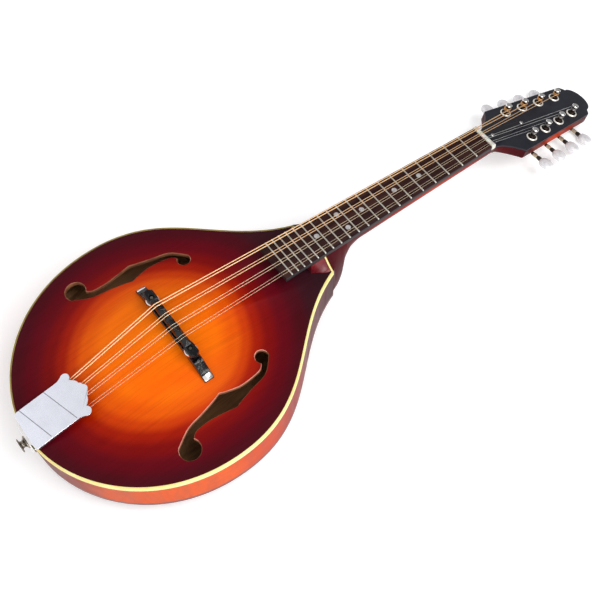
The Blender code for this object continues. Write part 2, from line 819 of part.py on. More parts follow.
def head_half_width(u):
    """Half width of the headstock along its length."""
    if u <= HEAD_WAIST_U:
        return between(BOARD_HALF_WIDTH_NUT, HEAD_WAIST, smooth(u / HEAD_WAIST_U))
    if u <= HEAD_EAR_U:
        share = (u - HEAD_WAIST_U) / (HEAD_EAR_U - HEAD_WAIST_U)
        return between(HEAD_WAIST, HEAD_EAR, share**1.75)
    if u <= HEAD_TOP_U:
        return between(HEAD_EAR, HEAD_TOP, (u - HEAD_EAR_U) / (HEAD_TOP_U - HEAD_EAR_U))
    if u <= HEAD_NOTCH_U:
        share = (u - HEAD_TOP_U) / (HEAD_NOTCH_U - HEAD_TOP_U)
        return between(HEAD_TOP, HEAD_NOTCH, share**1.5)
    share = (u - HEAD_NOTCH_U) / (HEAD_CROWN_U - HEAD_NOTCH_U)
    return HEAD_NOTCH * math.sqrt(max(1 - share**2, 0.0)) + EDGE_EASE


def head_stations(start):
    """Places along the headstock where its outline needs a point."""
    flare = [between(HEAD_WAIST_U, HEAD_EAR_U, s) for s in (0.0, 0.25, 0.5, 0.7, 0.85, 1.0)]
    rounding = [between(HEAD_TOP_U, HEAD_NOTCH_U, s) for s in (0.0, 0.3, 0.65, 1.0)]
    crown = [between(HEAD_NOTCH_U, HEAD_CROWN_U, s) for s in (0.25, 0.5, 0.72, 0.88, 0.97, 1.0)]
    middle = [between(HEAD_EAR_U, HEAD_TOP_U, s) for s in (0.04, 0.5)]
    return [u for u in [start] + flare + middle + rounding + crown if u >= start]


NECK_SIDE_POINTS = 10


def neck_ring(frame, half, flat_half, top, edge, bottom, power, low_half=None):
    """Cross-section: flat top, then a rounded belly of the given squareness."""
    points = [(-flat_half, top), (flat_half, top)]
    low_half = half if low_half is None else low_half
    for k in range(NECK_SIDE_POINTS + 1):
        angle = math.pi * k / NECK_SIDE_POINTS
        c, s = math.cos(angle), math.sin(angle)
        drop = abs(s) ** (2 / power)
        x = between(half, low_half, smooth(2 * drop)) * math.copysign(abs(c) ** (2 / power), c)
        points.append((x, edge - (edge - bottom) * drop))
    return [tuple(frame @ Vector((x, 0.0, z))) for x, z in points]


def heel_ring(y):
    """Cross-section of the heel, from the shelf beside the board down to the back."""
    run = max(y - JOINT_Y - SEAT_GAP, 0.0)
    half = board_half_width(y)
    top = board_under(y) - SEAT_GAP
    shelf = min(run / HEEL_SHELF, 1.0)
    wide = between(SHOULDER_HALF_WIDTH, half, 1 - (1 - shelf) ** 1.3)
    low_wide = between(SHOULDER_HALF_WIDTH, half, min(run / HEEL_LENGTH, 1.0) ** 1.2)
    edge = between(0.0, top - EDGE_EASE, shelf**1.2)
    fade = min(max((run - HEEL_FOOT) / HEEL_SWEEP, 0.0), 1.0)
    bottom = between(top - neck_depth(y), -RIM_DEPTH, (1 - fade) ** 1.6)
    power = between(9.0, 2.3, smooth((run - HEEL_LENGTH / 3) / HEEL_LENGTH))
    frame = Matrix.Translation((0, y, 0))
    return neck_ring(frame, wide, half - EDGE_EASE, top, edge, bottom, power, low_wide)


def neck_depth(y):
    """Depth of the neck's wood under the fingerboard."""
    share = (NUT_Y - y) / (NUT_Y - JOINT_Y)
    return between(NECK_DEPTH_NUT, NECK_DEPTH_HEEL, share)


def core_height(y, core_top):
    """Height of the headstock wood's face above a place along the neck."""
    origin = HEAD_FRAME.translation
    return origin.z - (y - origin.y) * math.tan(HEAD_ANGLE) + core_top / math.cos(HEAD_ANGLE)


def make_neck():
    start = JOINT_Y + SEAT_GAP
    heel_end = start + HEEL_FOOT + HEEL_SWEEP
    rings = [heel_ring(start + (heel_end - start) * k / 14) for k in range(15)]
    nut_end = NUT_Y + NUT_WIDTH + 2 * SEAT_GAP
    steps = 4
    for k in range(1, steps + 1):
        y = between(heel_end, NUT_Y, k / steps)
        rings.append(heel_ring(y))
    top = board_under(nut_end) - SEAT_GAP
    half = BOARD_HALF_WIDTH_NUT - EDGE_EASE
    low = top - NECK_DEPTH_NUT
    frame = Matrix.Translation((0, nut_end, 0))
    rings.append(neck_ring(frame, half, half - EDGE_EASE, top, top - EDGE_EASE, low, 2.5))
    core_top = -OVERLAY_THICKNESS - SEAT_GAP
    step = Matrix.Translation((0, nut_end + SEAT_GAP / 3, 0))
    top = core_height(step.translation.y, core_top)
    rings.append(neck_ring(step, half, half - EDGE_EASE, top, top - EDGE_EASE, low, 2.5))
    for u in head_stations(HEAD_WAIST_U):
        half = head_half_width(u)
        squareness = smooth((u - HEAD_WAIST_U) / (HEAD_EAR_U - HEAD_WAIST_U))
        power = between(3.0, 14.0, squareness)
        frame = HEAD_FRAME @ Matrix.Translation((0, u, 0))
        flat = max(half - EDGE_EASE, EDGE_EASE / 2)
        rings.append(neck_ring(frame, half, flat, core_top, core_top - EDGE_EASE, -HEAD_THICKNESS, power))
    neck = add_piece("neck", loft(rings), "neck_stain", crease=40.0)
    tenon = [(TENON_HALF_FRONT, start + TENON_HALF_FRONT), (TENON_HALF_FRONT, JOINT_Y)]
    tenon += [(TENON_HALF_BACK, JOINT_Y - TENON_LENGTH), (-TENON_HALF_BACK, JOINT_Y - TENON_LENGTH)]
    tenon += [(-TENON_HALF_FRONT, JOINT_Y), (-TENON_HALF_FRONT, start + TENON_HALF_FRONT)]
    join(neck, prism(tenon, TENON_BOTTOM, TENON_TOP))
    cut_rod_channel(neck)
    for side in SIDES.values():
        for k in range(4):
            hole = turned([(POST_RADIUS + TURN_GAP, -2 * HEAD_THICKNESS), (POST_RADIUS + TURN_GAP, 0.01)], 10)
            cut(neck, hole, post_frame(side, k))


# Frame along the truss rod: Y runs along the rod, its origin under the nut's front face
ROD_FRAME = Matrix.Translation((0, NUT_Y, board_under(NUT_Y) - SEAT_GAP - ROD_DEPTH)) @ Matrix.Rotation(
    -NECK_ANGLE, 4, "X"
)
ROD_LENGTH = NUT_Y - JOINT_Y - ROD_START_PAST_JOINT


def cut_rod_channel(neck):
    """Slot for the rod under the board and the pocket for its nut."""
    gap = SEAT_GAP
    low = (-ROD_HALF_WIDTH - gap, -ROD_LENGTH - gap, -ROD_HALF_HEIGHT - gap)
    high = (ROD_HALF_WIDTH + gap, POCKET_START + gap, 2 * ROD_DEPTH)
    cut(neck, box(low, high), ROD_FRAME)
    cut(neck, pocket_solid(), ROD_FRAME)


def pocket_solid():
    low = (-POCKET_HALF_WIDTH, POCKET_START, -ROD_NUT_RADIUS - 2 * SEAT_GAP)
    high = (POCKET_HALF_WIDTH, POCKET_START + POCKET_LENGTH, 3 * ROD_DEPTH)
    return box(low, high)


def make_truss_rod():
    low = (-ROD_HALF_WIDTH, -ROD_LENGTH, -ROD_HALF_HEIGHT)
    high = (ROD_HALF_WIDTH, 0.0, ROD_HALF_HEIGHT)
    rod = add_piece("truss_rod", box(low, high), "rod_steel", ROD_FRAME)
    along = ROD_FRAME @ Matrix.Rotation(-math.pi / 2, 4, "X")
    reach = POCKET_START + ROD_NUT_LENGTH
    join(rod, turned([(ROD_THREAD_RADIUS, -ROD_HALF_WIDTH), (ROD_THREAD_RADIUS, reach)], 10), along)
    place = along @ Matrix.Translation((0, 0, POCKET_START + 2 * SEAT_GAP))
    bore = (ROD_THREAD_RADIUS + SEAT_GAP) / math.cos(math.pi / 6)
    nut = hoop(bore, ROD_NUT_RADIUS, 0.0, ROD_NUT_LENGTH, 6)
    add_piece("truss_rod_nut", nut, "brass", place)


def head_outline(start):
    stations = head_stations(start)
    right = [(head_half_width(u), u) for u in stations]
    return right + [(-x, u) for x, u in right[::-1]]


def make_overlay():
    """Black face veneer, with the eight post ferrules seated in it."""
    solid = prism(head_outline(OVERLAY_START), -OVERLAY_THICKNESS, 0.0)
    overlay = add_piece("headstock_overlay", solid, "black_lacquer", HEAD_FRAME)
    cut(overlay, pocket_solid(), ROD_FRAME)
    for side in SIDES.values():
        for k in range(4):
            place = post_frame(side, k)
            rim = [(FERRULE_RADIUS, -OVERLAY_THICKNESS / 2), (FERRULE_RADIUS, FERRULE_HEIGHT / 2)]
            rim += [(FERRULE_RADIUS - FERRULE_HEIGHT / 2, FERRULE_HEIGHT)]
            join(overlay, turned(rim, 12), place)
            hole = turned([(POST_RADIUS + TURN_GAP, -0.01), (POST_RADIUS + TURN_GAP, 0.01)], 10)
            cut(overlay, hole, place)


def make_rod_cover():
    """Bell-shaped plate over the rod pocket, held by two screws."""
    right = []
    for k in range(11):
        share = k / 10
        bell = (0.5 + 0.5 * math.cos(math.pi * share)) ** 1.2
        half = COVER_TIP_HALF_WIDTH + (COVER_HALF_WIDTH - COVER_TIP_HALF_WIDTH) * bell
        right.append((half, between(COVER_START_U, COVER_END_U, share)))
    tip = (0.0, COVER_END_U + COVER_TIP_HALF_WIDTH / 2)
    outline = right + [tip] + [(-x, u) for x, u in right[::-1]]
    solid = prism(outline, SEAT_GAP, SEAT_GAP + COVER_THICKNESS)
    cover = add_piece("truss_rod_cover", solid, "black_plastic", HEAD_FRAME)
    for u in (COVER_START_U + 2.5 * COVER_TIP_HALF_WIDTH, COVER_END_U - COVER_TIP_HALF_WIDTH):
        base = SEAT_GAP + COVER_THICKNESS / 2
        head = [(COVER_SCREW_RADIUS, base), (COVER_SCREW_RADIUS, SEAT_GAP + COVER_THICKNESS)]
        head += [(COVER_SCREW_RADIUS / 2, SEAT_GAP + COVER_THICKNESS + COVER_SCREW_HEIGHT)]
        join(cover, turned(head, 10), HEAD_FRAME @ Matrix.Translation((0, u, 0)))


def row_frame(side):
    """Frame of one tuner row: Y runs along the posts, Z out of the face."""
    return (
        HEAD_FRAME
        @ Matrix.Translation((side * ROW_START_X, ROW_START_U, 0))
        @ Matrix.Rotation(side * ROW_LEAN, 4, "Z")
    )


def post_frame(side, k):
    return row_frame(side) @ Matrix.Translation((0, k * ROW_PITCH, 0))


PLATE_TOP = -HEAD_THICKNESS - SEAT_GAP
PLATE_LOW = PLATE_TOP - PLATE_THICKNESS
GEAR_TOP = PLATE_LOW - GEAR_DROP
WORM_N = GEAR_TOP - GEAR_HEIGHT / 2


def key_frame(side, k):
    """Frame of a tuner key: X runs out along its shaft, its origin beside the post."""
    place = post_frame(side, k) @ Matrix.Translation((0, WORM_OFFSET, WORM_N))
    if side < 0:
        place = place @ Matrix.Rotation(math.pi, 4, "Z")
    return place


def make_tuner_plates():
    """Plate behind the headstock on each side, with two lugs for each key's shaft."""
    for name, side in SIDES.items():
        length = 3 * ROW_PITCH
        low = (-PLATE_HALF_WIDTH, -PLATE_END, PLATE_LOW)
        high = (PLATE_HALF_WIDTH, length + PLATE_END + WORM_OFFSET, PLATE_TOP)
        plate = add_piece(f"tuner_plate_{name}", box(low, high), "nickel", row_frame(side))
        for k in range(4):
            hole = turned([(POST_RADIUS + TURN_GAP, -0.03), (POST_RADIUS + TURN_GAP, 0.0)], 10)
            cut(plate, hole, post_frame(side, k))
            for end in (-1, 1):
                near = WORM_HALF_LENGTH + SEAT_GAP
                x_low, x_high = sorted((end * near, end * (near + LUG_THICKNESS)))
                slot = SHAFT_RADIUS + TURN_GAP
                lug_low = -GEAR_HEIGHT / 2 - TURN_GAP
                head = PLATE_TOP - PLATE_THICKNESS / 2 - WORM_N
                outline = [(LUG_HALF_WIDTH, head), (LUG_HALF_WIDTH, lug_low), (slot, lug_low), (slot, slot)]
                outline += [(-slot, slot), (-slot, lug_low)]
                outline += [(-LUG_HALF_WIDTH, lug_low), (-LUG_HALF_WIDTH, head)]
                rings = [[(x, y, z) for y, z in outline] for x in (x_low, x_high)]
                join(plate, loft(rings), key_frame(side, k))


def make_tuner_key(side, k, number):
    """Worm, shaft and oval button in one piece, turning about X."""
    shaft_end = BUTTON_CENTRE - BUTTON_LENGTH / 2 + 0.001
    lug_end = WORM_HALF_LENGTH + 2 * SEAT_GAP + LUG_THICKNESS
    tail = -lug_end - SEAT_GAP
    profile = [(SHAFT_RADIUS, tail), (SHAFT_RADIUS, -WORM_HALF_LENGTH), (WORM_RADIUS, -WORM_HALF_LENGTH)]
    grooves = 3
    for g in range(1, 2 * grooves):
        radius = WORM_RADIUS if g % 2 == 0 else WORM_RADIUS - 0.0005
        profile.append((radius, between(-WORM_HALF_LENGTH, WORM_HALF_LENGTH, g / (2 * grooves))))
    profile += [(WORM_RADIUS, WORM_HALF_LENGTH), (SHAFT_RADIUS, WORM_HALF_LENGTH)]
    profile += [(SHAFT_RADIUS, lug_end), (SHAFT_RADIUS + 0.0007, lug_end)]
    profile += [(SHAFT_RADIUS + 0.0007, shaft_end - 0.003)]
    profile += [(SHAFT_RADIUS, shaft_end - 0.003), (SHAFT_RADIUS, shaft_end + 0.001)]
    shaft = turned(profile, 8, math.pi / 8)
    points = [(z, y, -x) for x, y, z in shaft[0]]
    key = add_piece(f"tuner_key_{number}", (points, shaft[1]), "pearloid", key_frame(side, k))
    rings = []
    for share in (0.02, 0.15, 0.4, 0.7, 0.9, 0.98):
        swell = math.sqrt(max(1 - (2 * share - 1) ** 2, 0.0)) ** 0.7
        x = BUTTON_CENTRE + BUTTON_LENGTH * (share - 0.5)
        ring = []
        for a in range(10):
            angle = 2 * math.pi * a / 10
            y = BUTTON_HALF_WIDTH * swell * math.cos(angle)
            z = BUTTON_HALF_THICKNESS * (0.45 + 0.55 * swell) * math.sin(angle)
            ring.append((x, y, z))
        rings.append(ring)
    join(key, loft(rings), key_frame(side, k))


def make_string_post(side, k, number):
    """Post with a waist for the string, its gear under the plate."""
    low = GEAR_TOP - GEAR_HEIGHT
    neck_low = WINDING_TOP - WINDING_LOOPS * (2 * STRING_RADIUS[0] + WINDING_GAP) - 2 * STRING_RADIUS[0]
    cap_low = POST_HEIGHT - POST_CAP_HEIGHT
    profile = [(POST_RADIUS, low - 0.0008), (POST_RADIUS, neck_low - 0.0004), (POST_WAIST, neck_low)]
    profile += [(POST_WAIST, cap_low), (POST_CAP_RADIUS, cap_low + 0.0004)]
    profile += [(POST_CAP_RADIUS, POST_HEIGHT - 0.0006), (POST_CAP_RADIUS - 0.0010, POST_HEIGHT)]
    post = add_piece(f"string_post_{number}", turned(profile, 10), "nickel", post_frame(side, k))
    teeth = []
    for g in range(2 * GEAR_TEETH):
        angle = math.pi * g / GEAR_TEETH
        radius = GEAR_RADIUS if g % 2 == 0 else GEAR_RADIUS - 0.0007
        teeth.append((radius * math.cos(angle), radius * math.sin(angle)))
    join(post, prism(teeth, low, GEAR_TOP), post_frame(side, k))


def make_tuners():
    number = 1
    for side in SIDES.values():
        for k in range(4):
            make_string_post(side, k, number)
            make_tuner_key(side, k, number)
            number += 1


def base_top(x):
    """Upper edge of the bridge base along its length."""
    x = abs(x)
    if x <= BASE_SHOULDER_X:
        return BASE_TOP
    if x <= BASE_TIP_X:
        return between(BASE_TOP, BASE_TIP_TOP, smooth((x - BASE_SHOULDER_X) / (BASE_TIP_X - BASE_SHOULDER_X)))
    return between(BASE_TIP_TOP, BASE_TIP_TOP - 0.0035, (x - BASE_TIP_X) / (BASE_HALF_LENGTH - BASE_TIP_X))


def make_bridge_base():
    rings = []
    stops = [-1.0, -BASE_TIP_X / BASE_HALF_LENGTH, -0.88, -0.82, -0.76, -0.70]
    stops += [-0.5, -0.25, 0.0]
    for share in stops + [-s for s in stops[-2::-1]]:
        x = share * BASE_HALF_LENGTH
        half = BASE_HALF_WIDTH
        seat = max(top_height(x, half), top_height(x, -half), top_height(x, 0.0)) + SEAT_GAP
        high = base_top(x)
        rings.append([(x, -half, seat), (x, half, seat), (x, half, high), (x, -half, high)])
    base = add_piece("bridge_base", loft(rings), "ebony_black")
    for name, side in SIDES.items():
        place = Matrix.Translation((side * STUD_X, 0, BASE_TOP))
        hole = turned([(STUD_RADIUS + SEAT_GAP, -STUD_EMBED - SEAT_GAP), (STUD_RADIUS + SEAT_GAP, 0.01)], 12)
        cut(base, hole, place)
        reach = SADDLE_EAR_TOP - BASE_TOP - 0.0007
        stud = turned([(STUD_RADIUS, -STUD_EMBED), (STUD_RADIUS, reach)], 10)
        add_piece(f"bridge_stud_{name}", stud, "brass", place)


def make_thumbwheels():
    for name, side in SIDES.items():
        place = Matrix.Translation((side * STUD_X, 0, BASE_TOP + WHEEL_LIFT))
        solid = hoop(STUD_RADIUS + TURN_GAP, WHEEL_RADIUS, 0.0, WHEEL_THICKNESS, 2 * WHEEL_NOTCHES, 0.0004)
        add_piece(f"thumbwheel_{name}", solid, "brass", place)


SADDLE_LOW = BASE_TOP + WHEEL_LIFT + WHEEL_THICKNESS + SEAT_GAP


def saddle_ring(x, crest_y, top, half):
    shoulder = top - SADDLE_SHOULDER
    low = SADDLE_LOW
    return [(x, -half, low), (x, half, low), (x, half, shoulder), (x, crest_y, top), (x, -half, shoulder)]


def make_bridge_saddle():
    """Saddle with a crest that steps for each course, and an ear over each stud."""
    rings = []
    ear_half, mid_half = SADDLE_EAR_HALF_WIDTH, SADDLE_HALF_WIDTH
    end = SADDLE_HALF_LENGTH
    rise_end = SADDLE_CROWN_X + SADDLE_RISE_RUN
    for x, half in ((end, ear_half * 0.55), (end - 0.0030, ear_half * 0.95), (STUD_X + 0.001, ear_half)):
        rings.append(saddle_ring(-x, 0.0, SADDLE_EAR_TOP, half))
    rings.append(saddle_ring(-rise_end, 0.0, SADDLE_EAR_TOP, between(ear_half, mid_half, 0.5)))
    for course in range(4):
        centre = (course - 1.5) * BRIDGE_COURSE_STEP
        left = -SADDLE_CROWN_X if course == 0 else centre - BRIDGE_COURSE_STEP / 2 + 0.0006
        right = SADDLE_CROWN_X if course == 3 else centre + BRIDGE_COURSE_STEP / 2 - 0.0006
        for x in (left, right):
            rings.append(saddle_ring(x, COURSE_SETBACK[course], SADDLE_TOP, mid_half))
    rings.append(saddle_ring(rise_end, 0.0, SADDLE_EAR_TOP, between(ear_half, mid_half, 0.5)))
    for x, half in ((STUD_X + 0.001, ear_half), (end - 0.0030, ear_half * 0.95), (end, ear_half * 0.55)):
        rings.append(saddle_ring(x, 0.0, SADDLE_EAR_TOP, half))
    points, faces = loft(rings)
    local = [(x, y, z - SADDLE_LOW) for x, y, z in points]
    place = Matrix.Translation((0, 0, SADDLE_LOW))
    saddle = add_piece("bridge_saddle", (local, faces), "ebony_black", place, crease=25.0)
    for side in SIDES.values():
        hole = turned([(STUD_RADIUS + TURN_GAP, -0.01), (STUD_RADIUS + TURN_GAP, 0.02)], 12)
        cut(saddle, hole, Matrix.Translation((side * STUD_X, 0, SADDLE_LOW)))


def leaf_top(y):
    """Height of the tailpiece leaf's upper face."""
    share = (y - LEAF_REAR_Y) / (LEAF_FRONT_Y - LEAF_REAR_Y)
    return between(LEAF_REAR_TOP, LEAF_FRONT_TOP, share)


FLANGE_OUT_Y = BODY_TAIL_Y - SEAT_GAP - LEAF_THICKNESS


def make_tailpiece_base():
    """Bent plate: a leaf over the top with eight hooks, and a flange down the tail."""
    front, rear = LEAF_FRONT_Y, LEAF_REAR_Y
    thick = LEAF_THICKNESS
    inner_y = BODY_TAIL_Y - SEAT_GAP
    shoulder, tip = -FLANGE_SHOULDER, -FLANGE_DEPTH
    upper = [(front, LEAF_FRONT_TOP), (rear, LEAF_REAR_TOP), (BODY_TAIL_Y, SEAT_GAP + thick)]
    upper += [(FLANGE_OUT_Y, SEAT_GAP), (FLANGE_OUT_Y, shoulder), (FLANGE_OUT_Y, tip)]
    lower = [(front, LEAF_FRONT_TOP - thick), (rear, LEAF_REAR_TOP - thick), (BODY_TAIL_Y, SEAT_GAP)]
    lower += [(inner_y, 0.0), (inner_y, shoulder), (inner_y, tip)]
    halves = [LEAF_HALF_WIDTH, LEAF_HALF_WIDTH, LEAF_WAIST, LEAF_WAIST]
    halves += [FLANGE_HALF_WIDTH, FLANGE_TIP_HALF_WIDTH]
    rings = []
    for (uy, uz), (ly, lz), half in zip(upper, lower, halves):
        rings.append([(-half, uy, uz), (half, uy, uz), (half, ly, lz), (-half, ly, lz)])
    base = add_piece("tailpiece_base", loft(rings), "nickel", crease=25.0)
    for course in range(4):
        for pair in (-1, 1):
            x = (course - 1.5) * HOOK_COURSE_STEP + pair * HOOK_PAIR_HALF
            y = LEAF_FRONT_Y - HOOK_HALF
            foot = leaf_top(y) - thick / 2
            low = (x - HOOK_HALF, y - 2 * HOOK_HALF, foot)
            high = (x + HOOK_HALF, y, LEAF_FRONT_TOP + HOOK_HEIGHT)
            join(base, box(low, high))
    cut_tail_holes(base)


def make_tail_screws():
    for name, side in SIDES.items():
        seat = SEAT_GAP + LEAF_THICKNESS + SEAT_GAP
        profile = [(SCREW_SHANK_RADIUS / 2, -SCREW_LENGTH), (SCREW_SHANK_RADIUS, -SCREW_LENGTH + 0.002)]
        profile += [(SCREW_SHANK_RADIUS, seat), (SCREW_HEAD_RADIUS, seat)]
        profile += [(SCREW_HEAD_RADIUS * 0.6, seat + SCREW_HEAD_HEIGHT)]
        place = tail_axis(side * SCREW_X, SCREW_Z)
        add_piece(f"tailpiece_screw_{name}", turned(profile, 10), "nickel", place)


def make_end_pin():
    seat = SEAT_GAP + LEAF_THICKNESS + SEAT_GAP
    end = seat + PIN_LENGTH
    profile = [(PIN_SHANK_RADIUS * 0.8, -PIN_SHANK_LENGTH), (PIN_SHANK_RADIUS, seat)]
    collar_end = seat + PIN_COLLAR_THICKNESS
    head_start = end - PIN_HEAD_THICKNESS
    taper = (head_start - collar_end) / 3
    profile += [(PIN_COLLAR_RADIUS, seat), (PIN_COLLAR_RADIUS, collar_end)]
    profile += [(PIN_NECK_RADIUS, collar_end + taper)]
    profile += [(PIN_NECK_RADIUS, head_start - taper), (PIN_HEAD_RADIUS, head_start)]
    profile += [(PIN_HEAD_RADIUS, end - PIN_HEAD_THICKNESS / 2), (PIN_HEAD_RADIUS * 0.8, end)]
    add_piece("end_pin", turned(profile, 16), "nickel", tail_axis(0.0, PIN_Z))


def cover_top(y):
    """Height of the tailpiece cover along its length."""
    if y >= COVER_BREAK_Y:
        share = (y - COVER_BREAK_Y) / (COVER_APEX_Y - COVER_BREAK_Y)
        return between(COVER_BREAK_TOP, COVER_FRONT_TOP, share)
    share = (y - COVER_REAR_Y) / (COVER_BREAK_Y - COVER_REAR_Y)
    return between(COVER_REAR_TOP, COVER_BREAK_TOP, share)


def cover_outline():
    """Plan of the cover: straight sides, round lobes at the front corners, scallops between."""
    half = COVER_OUT_HALF_WIDTH
    rear = [(half - COVER_CORNER, COVER_REAR_Y), (half, COVER_REAR_Y + COVER_CORNER), (half, COVER_BREAK_Y)]
    rear.append((half, COVER_FRONT_Y - 0.003))
    lobe = arc(half - 0.0012, COVER_LOBE_Y, COVER_LOBE_RADIUS, -50, 150, 6)
    inner_x, inner_y = lobe[-1]
    stops = [1.0, COVER_OUTER_NOTCH, COVER_INNER_NOTCH]
    stops += [-s for s in stops[::-1]]
    chord_y = COVER_APEX_Y - COVER_CENTRE_BOW
    share = (COVER_OUTER_NOTCH - COVER_INNER_NOTCH) / (1 - COVER_INNER_NOTCH)
    notch_y = [inner_y, between(chord_y, inner_y, share)]
    notch_y += [chord_y]
    notch_y += notch_y[::-1]
    bows = [COVER_OUTER_BOW, COVER_INNER_BOW, COVER_CENTRE_BOW, COVER_INNER_BOW, COVER_OUTER_BOW]
    scallops = []
    for k, bow in enumerate(bows):
        shares = (0.1, 0.3, 0.5, 0.7, 0.9) if k == 2 else (0.12, 0.5, 0.88)
        for share in shares:
            s = between(stops[k], stops[k + 1], share)
            y = between(notch_y[k], notch_y[k + 1], share) + bow * math.sin(math.pi * share)
            scallops.append((s * inner_x * 0.98, y))
    other = [(-x, y) for x, y in (rear + lobe)[::-1]]
    return rear + lobe + scallops + other


def make_tailpiece_cover():
    """Sheet cover that slides over the leaf, with a skirt down each side."""
    outline = cover_outline()
    upper = [(x, y, cover_top(y)) for x, y in outline]
    lower = [(x, y, cover_top(y) - COVER_SHEET) for x, y in outline]
    count = len(outline)
    points = upper + lower
    # The sheet bends at the break line, so each side is one flat face before it and one behind
    bend = next(k for k, (x, y) in enumerate(outline) if y >= COVER_BREAK_Y)
    faces = []
    for offset in (0, count):
        faces.append(tuple(offset + k for k in range(bend, count - bend)))
        faces.append(tuple(offset + k for k in list(range(bend + 1)) + list(range(count - 1 - bend, count))))
    for k in range(count):
        after = (k + 1) % count
        faces.append((k, after, count + after, count + k))
    origin = Matrix.Translation((0, COVER_BREAK_Y, COVER_BREAK_TOP))
    inverse = origin.inverted()
    local = [tuple(inverse @ Vector(p)) for p in points]
    cover = add_piece("tailpiece_cover", (local, faces), "nickel", origin, crease=12.0)
    for side in SIDES.values():
        inner = LEAF_HALF_WIDTH + SEAT_GAP
        outer = COVER_OUT_HALF_WIDTH - SEAT_GAP / 3
        rings = []
        for y in (COVER_REAR_Y + COVER_CORNER + SEAT_GAP, COVER_BREAK_Y, COVER_FRONT_Y - 0.004):
            high = cover_top(y) - COVER_SHEET / 2
            low = high - COVER_SKIRT
            ring = [(inner, low), (outer, low), (outer, high), (inner, high)]
            rings.append([(side * x, y, z) for x, z in ring])
        join(cover, loft(rings))


def string_ends():
    """Each string's course, place across the instrument and post, from the bass side."""
    for course in range(4):
        for pair in (-1, 1):
            index = 2 * course + (pair + 1) // 2
            side = -1 if course < 2 else 1
            post = index if course < 2 else 7 - index
            yield course, pair, side, post


def across(course, pair, step, half):
    return (course - 1.5) * step + pair * half


def string_route(course, pair, side, post):
    """Points from the hook over the saddle and nut, then round the post."""
    radius = STRING_RADIUS[course]
    hook = Vector((across(course, pair, HOOK_COURSE_STEP, HOOK_PAIR_HALF), LEAF_FRONT_Y, 0))
    hook.y += radius / 2
    hook.z = LEAF_FRONT_TOP + HOOK_HEIGHT / 2
    crest = Vector((across(course, pair, BRIDGE_COURSE_STEP, BRIDGE_PAIR_HALF), COURSE_SETBACK[course], 0))
    crest.z = SADDLE_TOP + radius + SEAT_GAP - STRING_LIFT
    nut = Vector((across(course, pair, NUT_COURSE_STEP, NUT_PAIR_HALF), NUT_Y + NUT_WIDTH / 2, 0))
    nut.z = board_top(NUT_Y) + NUT_ABOVE_BOARD + radius + SEAT_GAP - STRING_LIFT
    centre = HEAD_FRAME.inverted() @ post_frame(side, post).translation
    start = HEAD_FRAME.inverted() @ nut
    reach = POST_WAIST + SEAT_GAP + radius
    gap = Vector((centre.x - start.x, centre.y - start.y))
    turn = math.asin(reach / gap.length)
    heading = math.atan2(gap.y, gap.x) + side * turn
    run = math.sqrt(gap.length**2 - reach**2)
    touch = Vector((start.x + run * math.cos(heading), start.y + run * math.sin(heading)))
    first = math.atan2(touch.y - centre.y, touch.x - centre.x)
    pitch = 2 * radius + WINDING_GAP
    points = [hook, crest, nut]
    steps = WINDING_LOOPS * WINDING_POINTS
    for k in range(steps + 1):
        turned_by = k / WINDING_POINTS
        angle = first - side * 2 * math.pi * turned_by
        height = WINDING_TOP - pitch * turned_by
        local = Vector((centre.x + reach * math.cos(angle), centre.y + reach * math.sin(angle), height))
        points.append(HEAD_FRAME @ local)
    return points


def winding_gap(points, radius):
    """Least free space between turns of one winding, measured on its points."""
    turns = np.array([tuple(p) for p in points[3:]])
    least = math.inf
    for k in range(len(turns)):
        for other in range(k + WINDING_POINTS // 2, len(turns)):
            least = min(least, float(np.linalg.norm(turns[k] - turns[other])) - 2 * radius)
    return least


def make_strings():
    for course, pair, side, post in string_ends():
        radius = STRING_RADIUS[course]
        name = f"string_{COURSE_NAMES[course]}{1 if pair < 0 else 2}"
        points = string_route(course, pair, side, post)
        curve = bpy.data.curves.new(name, "CURVE")
        curve.dimensions = "3D"
        curve.bevel_depth = radius
        curve.bevel_resolution = 1
        curve.use_fill_caps = True
        curve.render_resolution_u = 0
        spline = curve.splines.new("POLY")
        spline.points.add(len(points) - 1)
        for slot, point in zip(spline.points, points):
            slot.co = (*point, 1.0)
        curve.materials.append(finish("bronze_wound" if course < 2 else "plain_steel"))
        made = bpy.data.objects.new(name, curve)
        bpy.context.scene.collection.objects.link(made)
        print(f"{name}: least gap between turns {1000 * winding_gap(points, radius):.2f} mm")


def main():
    for old in list(bpy.data.objects):
        bpy.data.objects.remove(old)
    make_top_plate()
    make_back_plate()
    make_ribs()
    make_linings()
    make_head_block()
    make_tail_block()
    make_tone_bars()
    make_binding()
    make_riser()
    make_fretboard()
    make_nut()
    make_neck()
    make_truss_rod()
    make_overlay()
    make_rod_cover()
    make_tuner_plates()
    make_tuners()
    make_bridge_base()
    make_thumbwheels()
    make_bridge_saddle()
    make_tailpiece_base()
    make_tail_screws()
    make_end_pin()
    make_tailpiece_cover()
    make_strings()
    stand = bpy.data.objects.new("mandolin", None)
    bpy.context.scene.collection.objects.link(stand)
    for piece in bpy.data.objects:
        if piece != stand:
            piece.parent = stand
    solids = [piece for piece in bpy.data.objects if piece.type == "MESH"]
    corners = [piece.matrix_world @ point.co for piece in solids for point in piece.data.vertices]
    along = [corner.y for corner in corners]
    stand.location = (0, -(min(along) + max(along)) / 2, -min(corner.z for corner in corners))
    bpy.context.view_layer.update()


main()
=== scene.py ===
"""Looks of the mandolin: fine surfaces, materials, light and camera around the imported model."""
import math

import bmesh
import bpy
import numpy as np
from mathutils import Matrix, Vector


